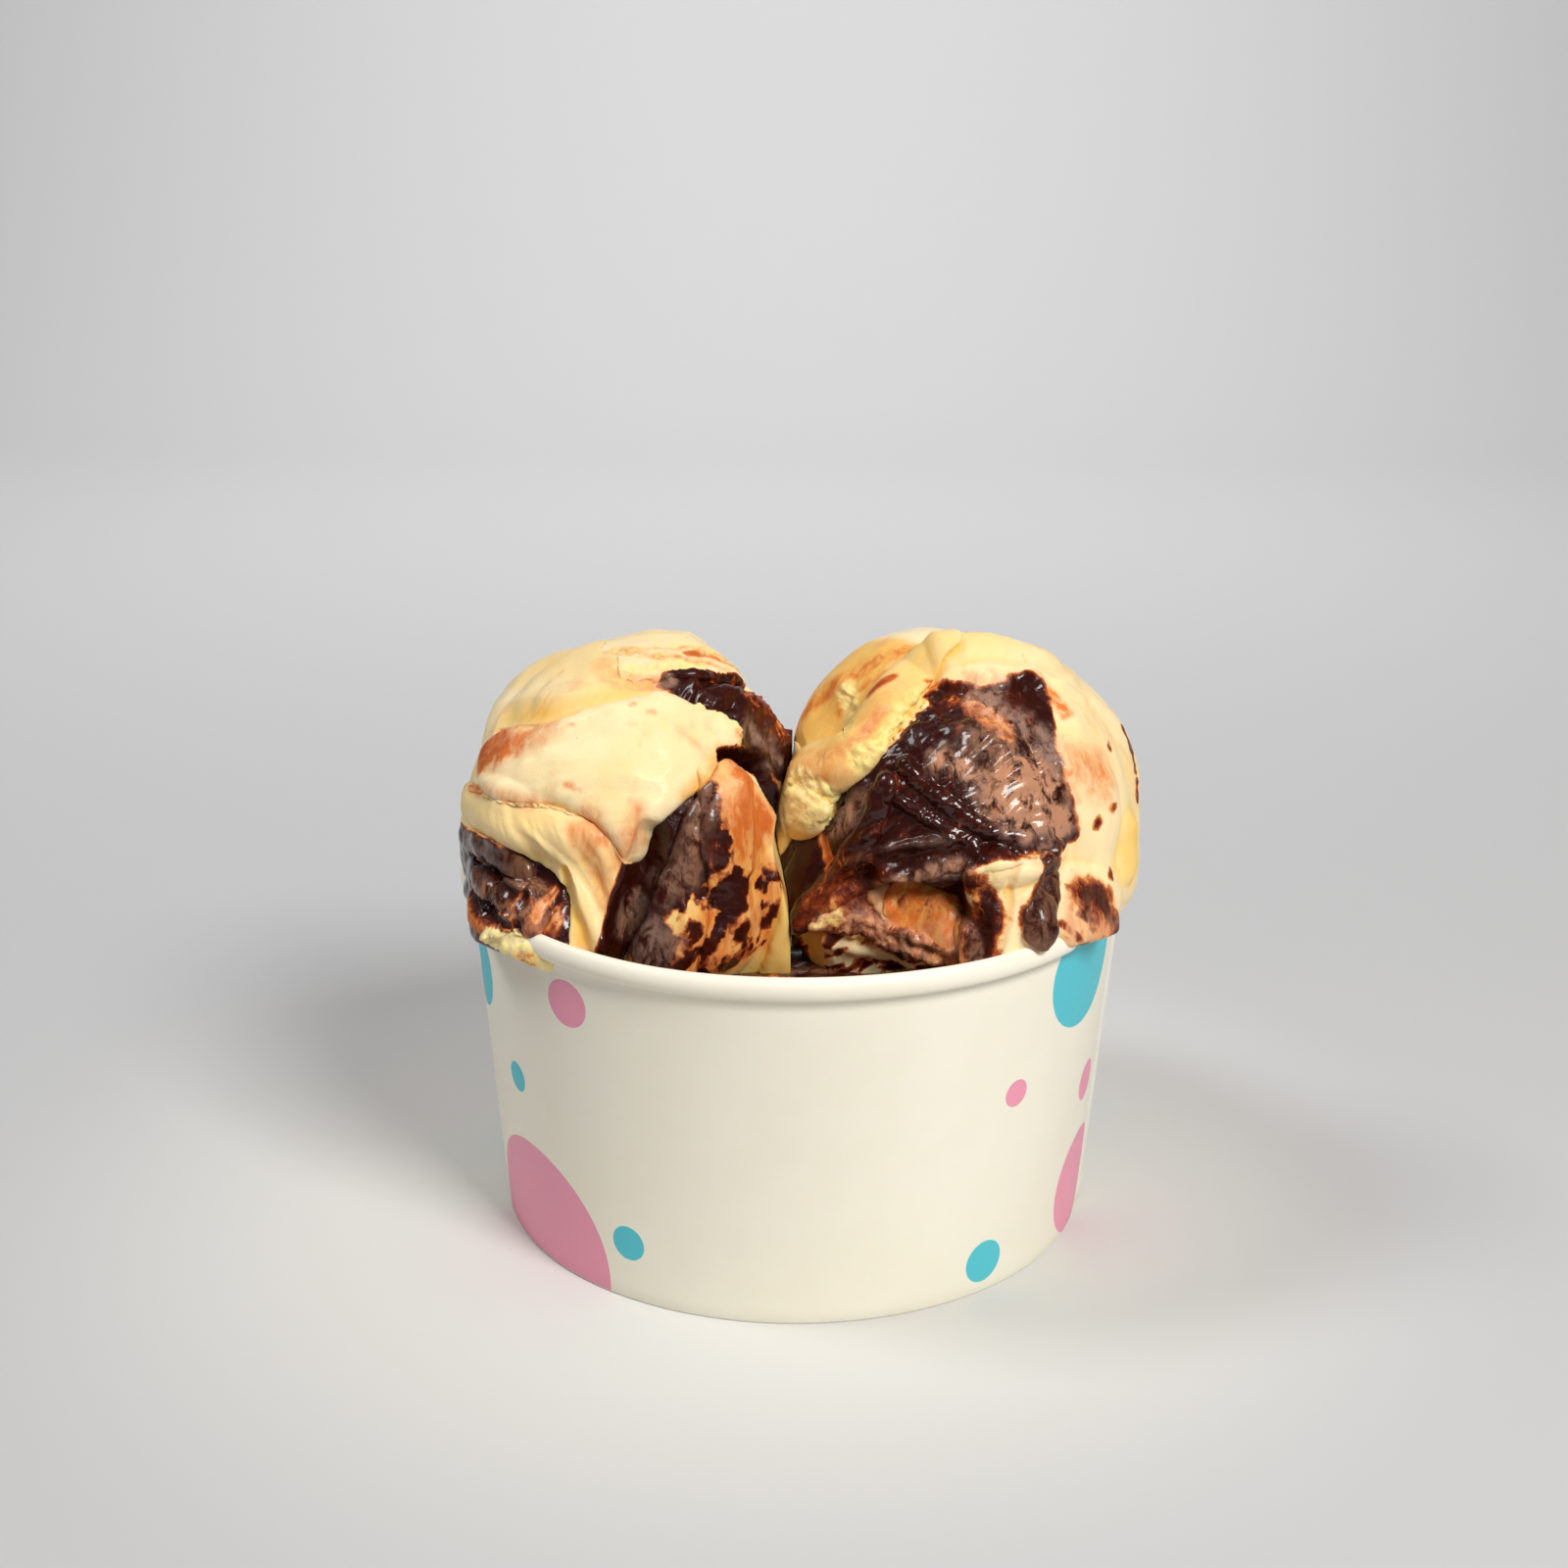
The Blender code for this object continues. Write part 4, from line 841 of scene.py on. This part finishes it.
def gelato_material():
    """Custard with caramel and fudge stains, a milky film that on the fudge stands partly as painted
    highlight and sheen, and torn places, by its fields.
    """
    r = Recipe("rippled gelato")
    broad = r.noise(9 * MM, 2)
    middle = r.noise(2.2 * MM, 4, 0.6)
    fine = r.noise(0.8 * MM, 3, 0.6)
    streaks = r.noise(1.6 * MM, 4, 0.65, r.place((1, 1, 0.32), (25, 15, 0)), warp=0.6)

    # The warm field carries the custard's own warmer tone, and also painted shade in hollows and grooves and
    # painted light on ridges
    warm = r.math("ADD", r.field("warm"), r.band(broad, 0.35, 0.75, -0.05, 0.3))
    custard = r.mix(warm, CREAM, CUSTARD)
    caramel = r.math("MULTIPLY", r.field("caramel"), r.band(streaks, 0.3, 0.68, 0.35, 1.15), clamp=True)
    custard = r.mix(caramel, custard, CARAMEL)
    rust = r.math("SUBTRACT", r.field("caramel"), 1.0, clamp=True)
    rust = r.math("MULTIPLY", rust, r.band(middle, 0.35, 0.55, 0.3, 1.0))
    custard = r.mix(rust, custard, RUST)
    blush = r.noise(7 * MM, 5, 0.62, r.place((1, 1, 0.4), (20, 30, 0)), warp=0.8)
    custard = r.mix(r.band(blush, 0.54, 0.72, 0.0, 0.3), custard, CARAMEL)
    specks = r.band(r.noise(0.55 * MM, 1), 0.74, 0.79)
    specks = r.math("MULTIPLY", specks, r.band(streaks, 0.5, 0.62, 0.0, 0.7))
    custard = r.mix(specks, custard, RUST)
    torn = r.math("MULTIPLY", r.field("torn"), r.band(fine, 0.35, 0.6), clamp=True)
    custard = r.mix(torn, custard, CRUMB)

    wobble = r.math("MULTIPLY", r.math("SUBTRACT", fine, 0.5), 0.7)
    wobble = r.math("MULTIPLY_ADD", r.math("SUBTRACT", middle, 0.5), 1.2, wobble)
    wobble = r.math("MULTIPLY_ADD", r.math("SUBTRACT", broad, 0.5), 0.7, wobble)
    depth = r.math("ADD", r.field("fudge"), wobble)
    reddish = r.math("MULTIPLY", r.band(streaks, 0.5, 0.72), -0.75)
    stain = r.ramp(r.band(r.math("ADD", depth, reddish), -0.9, 1.0), STAINS)
    colour = r.mix(r.band(depth, -0.6, -0.22), custard, stain)
    dark = r.band(depth, -0.1, 0.25)
    # The milky film: grey to brown on fudge and pinkish on custard; partly a real runny film, partly painted
    # highlight and sheen on the glossy fudge
    film = r.noise(1.9 * MM, 5, 0.68, r.place((1, 1, 0.55), (35, 0, 20)), warp=0.5)
    milk = r.math("MULTIPLY", r.field("milk"), r.band(film, 0.36, 0.62, 0.0, 1.1), clamp=True)
    film_and_sheen = r.mix(r.field("caramel"), MILK_FILM_AND_SHEEN["grey"], MILK_FILM_AND_SHEEN["brown"])
    colour = r.mix(r.math("MULTIPLY", milk, 0.85), colour, r.mix(dark, MILK_FILM_AND_SHEEN["pink"], film_and_sheen))

    wet = r.math("MULTIPLY", r.field("wet"), dark)
    gloss = r.math("MULTIPLY_ADD", dark, -0.12, 0.48)
    gloss = r.math("MULTIPLY_ADD", wet, -0.16, gloss)
    gloss = r.math("MULTIPLY_ADD", r.field("torn"), 0.2, gloss)
    gloss = r.math("ADD", gloss, r.band(middle, 0.3, 0.7, -0.06, 0.08))
    grain = r.math("MULTIPLY_ADD", r.noise(0.35 * MM, 2), 0.25, r.math("MULTIPLY", fine, r.field("torn")))
    bare = r.math("MULTIPLY_ADD", milk, -0.35, 0.45)
    lumps = r.math("MULTIPLY_ADD", r.math("MULTIPLY", dark, fine), bare, grain)
    coat = r.math("MULTIPLY_ADD", wet, 0.5, 0.08)
    depth_of_light = r.math("MULTIPLY_ADD", dark, -0.4, 0.4)
    return r.finish(Base_Color=colour, Roughness=gloss, Coat_Weight=coat, Coat_Roughness=0.1,
                    Specular_IOR_Level=0.15, Subsurface_Weight=depth_of_light, Subsurface_Scale=1.8 * MM,
                    Subsurface_Radius=(1.0, 0.6, 0.3), Normal=r.bump(lumps, 0.22 * MM))


PAPER_WHITE = srgb(250, 243, 226)
RAW_PAPER = srgb(253, 252, 248)
PINK = srgb(244, 158, 182)
TEAL = srgb(84, 200, 214)
# Discs printed on the wall: degrees round from the front, height and radius in millimetres, colour
DISCS = [(-56, 2, 15.5, PINK), (-76, 40, 7.0, TEAL), (60, 44, 8.5, TEAL), (70, 8, 8.0, PINK),
         (38, 5, 3.2, TEAL), (-31, 9, 2.6, TEAL), (-59, 27, 2.2, TEAL), (-41, 43, 3.4, PINK),
         (42, 30, 2.0, PINK), (69, 24, 3.0, PINK), (104, 34, 12.0, PINK), (118, 8, 6.5, TEAL),
         (140, 26, 3.0, TEAL), (150, 42, 8.0, TEAL), (163, 6, 13.0, PINK), (-172, 30, 2.4, PINK),
         (-156, 43, 4.0, PINK), (-140, 12, 9.0, TEAL), (-118, 33, 12.0, PINK), (-104, 5, 4.0, TEAL),
         (-96, 22, 2.2, PINK)]


def paper_material():
    """Coated board with flat printed discs, and raw white board where it is cut."""
    r = Recipe("printed paper")
    where = r.node("SeparateXYZ", {0: r.place()})
    x, y, z = where.node.outputs
    wall_radius = (FOOT_RADIUS + SHOULDER_RADIUS) / 2
    around = r.math("MULTIPLY", r.math("ARCTAN2", x, r.math("MULTIPLY", y, -1.0)), wall_radius)
    spot = r.node("CombineXYZ", {0: around, 1: z})
    mottle = r.noise(14 * MM, 3)
    colour = r.mix(r.band(mottle, 0.3, 0.7, 0, 0.6), PAPER_WHITE, srgb(246, 238, 218))
    ink_edge = r.math("MULTIPLY", r.math("SUBTRACT", r.noise(0.25 * MM, 2), 0.5), 0.12 * MM)
    for degrees, height, radius, tint in DISCS:
        middle = (math.radians(degrees) * (FOOT_RADIUS + SHOULDER_RADIUS) / 2, height * MM, 0)
        far = r.node("VectorMath", {0: spot, 1: middle}, "Value", operation="DISTANCE")
        far = r.math("ADD", far, ink_edge)
        inside = r.band(far, (radius + 0.04) * MM, (radius - 0.04) * MM)
        colour = r.mix(inside, colour, tint)
    outer = r.field("printed")
    plain = r.mix(r.band(mottle, 0.3, 0.7), RAW_PAPER, srgb(250, 247, 238))
    colour = r.mix(outer, plain, colour)
    fibre = r.noise(0.5 * MM, 4, 0.6, r.place((1, 1, 0.5)))
    slight = r.math("MULTIPLY_ADD", r.noise(6 * MM, 2), 1.2, r.math("MULTIPLY", fibre, 0.25))
    return r.finish(Base_Color=colour, Roughness=r.band(fibre, 0.3, 0.7, 0.4, 0.52), Specular_IOR_Level=0.35,
                    Subsurface_Weight=0.08, Subsurface_Scale=1.5 * MM, Normal=r.bump(slight, 0.05 * MM))


def board_material():
    r = Recipe("base board")
    fibre = r.noise(0.6 * MM, 4, 0.6)
    colour = r.mix(r.band(fibre, 0.3, 0.7), srgb(240, 236, 226), srgb(230, 224, 210))
    return r.finish(Base_Color=colour, Roughness=0.62, Normal=r.bump(fibre, 0.05 * MM))


# Cup

def turned_points(outline, steps, shape=None):
    """Points and quads of an outline of radius and height carried round the Z axis, through a shaping
    function that takes an angle in degrees from the front, and the arrays of radius and height."""
    turns = np.arange(steps) * 360 / steps
    radius, height = np.array(outline).T
    rings = []
    for turn in turns:
        r, z = (radius, height) if shape is None else shape(turn, radius, height)
        a = math.radians(turn)
        rings.append(np.stack([r * math.sin(a), -r * math.cos(a), z], axis=1))
    points = np.concatenate(rings)
    count = len(outline)
    ring, level = np.meshgrid(np.arange(steps), np.arange(count), indexing="ij")
    after, above = (ring + 1) % steps, (level + 1) % count
    corners = ((ring, level), (after, level), (after, above), (ring, above))
    quads = np.stack([column * count + row for column, row in corners], axis=2)
    return points, quads.reshape(-1, 4)


def wall_outline():
    """The wall's section: up its outer face, round the rolled rim, down inside, round the fold at the foot,
    and how many of its points carry print."""
    outer = [(float(wall_outside(z)), z) for z in np.linspace(0.4 * MM, SHOULDER_HEIGHT, 26)]
    rim = [(RIM_MIDDLE[0] + RIM_HALF_WIDTH * math.cos(a), RIM_MIDDLE[1] + RIM_HALF_HEIGHT * math.sin(a))
           for a in np.linspace(math.radians(-100), math.radians(180), 30)]
    inner = [(float(wall_outside(z)) - PAPER, z) for z in np.linspace(SHOULDER_HEIGHT - 0.4 * MM, PAPER, 14)]
    fold = inner[-1][0] - SLOT
    foot = [(fold, PAPER), (fold, FOLD_HEIGHT), (fold - PAPER, FOLD_HEIGHT), (fold - PAPER, 0.2 * MM),
            (fold, 0), (FOOT_RADIUS - 0.2 * MM, 0)]
    return outer + rim + inner + foot, len(outer) + len(rim) - 4


def wall_shape(turn, radius, height):
    """The wall's small faults: its glued lap, a slightly uneven roll and a soft dent under the rim."""
    outer = radius > wall_outside(height) - PAPER / 2
    wall = outer & (height < SHOULDER_HEIGHT + 0.5 * MM)
    lap = float(turn > LAP_START) * (1 - smooth((turn - LAP_END) / 3, 0, 1))
    a = math.radians(turn)
    rim = smooth(height, SHOULDER_HEIGHT - 1 * MM, SHOULDER_HEIGHT + 1 * MM)
    uneven = sum(high * math.sin(waves * a + start) for high, waves, start in RIM_WAVES)
    pinch = sum(math.exp(-((turn - middle) / spread) ** 2) * deep for middle, spread, deep in RIM_PINCHES)
    roll = smooth(SHOULDER_HEIGHT + 0.9 * MM - height, 0, 1.6 * MM) * rim
    middle, spread, level, half, deep = DENT
    dent = deep * math.exp(-((turn - middle) / spread) ** 2) * np.exp(-((height - level) / half) ** 2)
    r = radius + wall * lap * LAP_STEP + rim * uneven * MM * 0.5 - wall * dent * MM
    z = height - roll * pinch * MM * 0.6 + rim * 0.12 * MM * math.sin(5 * a + 1)
    return r, z


def cup_wall():
    outline, printed_end = wall_outline()
    points, quads = turned_points(outline, WALL_STEPS, wall_shape)
    printed = np.tile(np.arange(len(outline)) < printed_end, WALL_STEPS).astype(float)
    turn = np.repeat(np.arange(WALL_STEPS) * 360 / WALL_STEPS, len(outline))
    raw = np.abs(turn - LAP_START) < 180 / WALL_STEPS
    wall = make_mesh("paper_wall", points, quads, {"printed": printed * ~raw})
    wall.data.materials.append(paper_material())
    return wall


# Gelato in the cup, below the scoops

def bed_height(y):
    """The filling's top: level under the scoops, and banked up against the wall before and behind them."""
    away = np.clip((np.abs(y + 4 * MM) - 15 * MM) / (20 * MM), 0, 1)
    away = away * away * (3 - 2 * away)
    return BED_LEVEL + np.where(y < 0, BED_BANK["front"], BED_BANK["back"]) * away


def cup_filling(finish):
    """The top of the filling, streaked with fudge, with its sides down inside the wall."""
    reach = wall_outside(BED_LEVEL) - PAPER + 0.1 * MM
    outline = [(reach * ring / BED_RINGS, 0.0) for ring in range(BED_RINGS + 1)]
    outline += [(float(wall_outside(z)) - PAPER + 0.1 * MM, z - BED_LEVEL)
                for z in (30 * MM, 15 * MM, 7 * MM)]
    outline += [(0.0, 7 * MM - BED_LEVEL)]
    points, quads = turned_points(outline, BED_SIDES)
    top = points[:, 2] == 0
    points[:, 2] += np.where(top, bed_height(points[:, 1]), BED_LEVEL)
    lumps = 0.9 * rough(points, 6 * MM, 3, 21) + 0.5 * np.abs(rough(points, 1.8 * MM, 3, 22))
    points[:, 2] += top * MM * lumps
    streak = rough(points * [0.4, 1.0, 1.0], 4 * MM, 4, 23)
    fudge = 3.5 * (streak + 0.12) + 2.0 * smooth(-points[:, 1], 30 * MM, 42 * MM)
    fields = {"fudge": fudge, "caramel": smooth(streak, -0.4, 0), "milk": 0.4 * smooth(streak, 0.1, 0.5),
              "wet": 0.6 * smooth(fudge, 0, 1), "torn": 0.5 * smooth(-streak, 0, 0.5),
              "warm": 0.4 + 0 * streak}
    filling = make_mesh("filling", points, quads, fields)
    filling.data.materials.append(finish)
    return filling


def scoop(gelato, finish):
    obj = make_mesh("scoop_" + gelato.side, gelato.surface(), gelato.faces, gelato.fields)
    obj.data.materials.append(finish)
    return obj


# Stage, lights and camera

FLOOR_FRONT = -0.9
FLOOR_BACK = 0.55
BACKDROP_BEND = 0.35
BACKDROP_TOP = 1.3
STAGE_HALF_WIDTH = 1.6


def backdrop():
    """A seamless pale sweep: the floor, bending up behind into a wall, painted lighter near the cup and
    darker further off as a painted pool of light.
    """
    profile = [(FLOOR_FRONT, 0.0), (FLOOR_BACK, 0.0)]
    profile += [(FLOOR_BACK + BACKDROP_BEND * math.sin(a), BACKDROP_BEND * (1 - math.cos(a)))
                for a in np.linspace(0, math.pi / 2, 24)[1:]]
    profile += [(FLOOR_BACK + BACKDROP_BEND, BACKDROP_TOP)]
    points = np.array([(x, y, z - 0.02 * MM) for y, z in profile
                       for x in (-STAGE_HALF_WIDTH, STAGE_HALF_WIDTH)])
    quads = np.array([(2 * n, 2 * n + 1, 2 * n + 3, 2 * n + 2) for n in range(len(profile) - 1)])
    stage = make_mesh("backdrop", points, quads)
    r = Recipe("pale backdrop")
    # Painted pool of light: the sweep is lighter round the cup and darker from 5 to 12 cm away
    away = r.node("VectorMath", {0: r.place(), 1: (-0.01, 0.0, 0.0)}, "Value", operation="DISTANCE")
    colour = r.mix(r.band(away, 0.05, 0.12), srgb(216, 215, 211), srgb(197, 197, 198))
    stage.data.materials.append(r.finish(Base_Color=colour, Roughness=0.85, Specular_IOR_Level=0.2))
    return stage


def soft_light(name, around, up, distance, size, power, tint, aim):
    """A soft box, seen from what it faces at two angles."""
    lamp = bpy.data.lights.new(name, "AREA")
    lamp.shape = "RECTANGLE"
    lamp.size, lamp.size_y = size
    lamp.energy = power
    lamp.color = tint
    obj = bpy.data.objects.new(name, lamp)
    bpy.context.scene.collection.objects.link(obj)
    way = Vector(bearing(around, up))
    obj.location = Vector(aim) + way * distance
    obj.rotation_euler = way.to_track_quat("Z", "Y").to_euler()
    return obj


# Where each light stands as seen from what it faces, how far off, its sides, power, tint and what it faces
CUP_MIDDLE = (0, 0, 0.045)
LIGHTS = [("key", 34, 42, 0.8, (0.26, 0.26), 5.7, (1.0, 0.98, 0.95), CUP_MIDDLE),
          ("fill", -86, 56, 0.9, (0.26, 0.26), 2.9, (1, 1, 1), CUP_MIDDLE),
          ("overhead", 20, 84, 1.0, (0.5, 0.5), 0.4, (1, 1, 1), CUP_MIDDLE),
          ("behind", 0, 45, 0.6, (0.5, 0.3), 2.55, (1, 1, 1), (0, 0.85, 0.1))]


def lights():
    for light in LIGHTS:
        soft_light(*light)
    world = bpy.data.worlds.new("studio")
    world.use_nodes = True
    background = world.node_tree.nodes["Background"]
    background.inputs["Color"].default_value = (0.95, 0.97, 1.0, 1.0)
    background.inputs["Strength"].default_value = 0.1
    bpy.context.scene.world = world
    bpy.context.scene.view_settings.view_transform = "Standard"


def camera():
    down, left, roll = (math.radians(angle) for angle in (CAMERA_DOWN, CAMERA_LEFT, CAMERA_ROLL))
    ahead = Vector((-math.sin(left) * math.cos(down), math.cos(left) * math.cos(down), -math.sin(down)))
    right = ahead.cross(Vector((0, 0, 1))).normalized()
    up = right.cross(ahead)
    right, up = right * math.cos(roll) + up * math.sin(roll), up * math.cos(roll) - right * math.sin(roll)
    view = bpy.data.cameras.new("camera")
    view.lens = CAMERA_LENS
    view.sensor_width = CAMERA_SENSOR
    view.clip_start = 0.01
    obj = bpy.data.objects.new("camera", view)
    turn = Matrix((right, up, -ahead)).transposed().to_4x4()
    obj.matrix_world = Matrix.Translation(CAMERA_PLACE) @ turn
    bpy.context.scene.collection.objects.link(obj)
    bpy.context.scene.camera = obj


# Everything together

gelato_finish = gelato_material()
left = scoop(left_scoop(), gelato_finish)
right = scoop(right_scoop(), gelato_finish)
filling = cup_filling(gelato_finish)
wall = cup_wall()
bpy.data.objects["cup_base"].material_slots[0].material = board_material()
for piece, node, slot in ((left, "gelato_left", "gelato_rippled"), (right, "gelato_right", "gelato_rippled"),
                          (filling, "gelato_bed", "gelato_custard"), (wall, "cup_wall", "cup_paper")):
    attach(piece, "root")
    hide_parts(node)
backdrop()
lights()
camera()
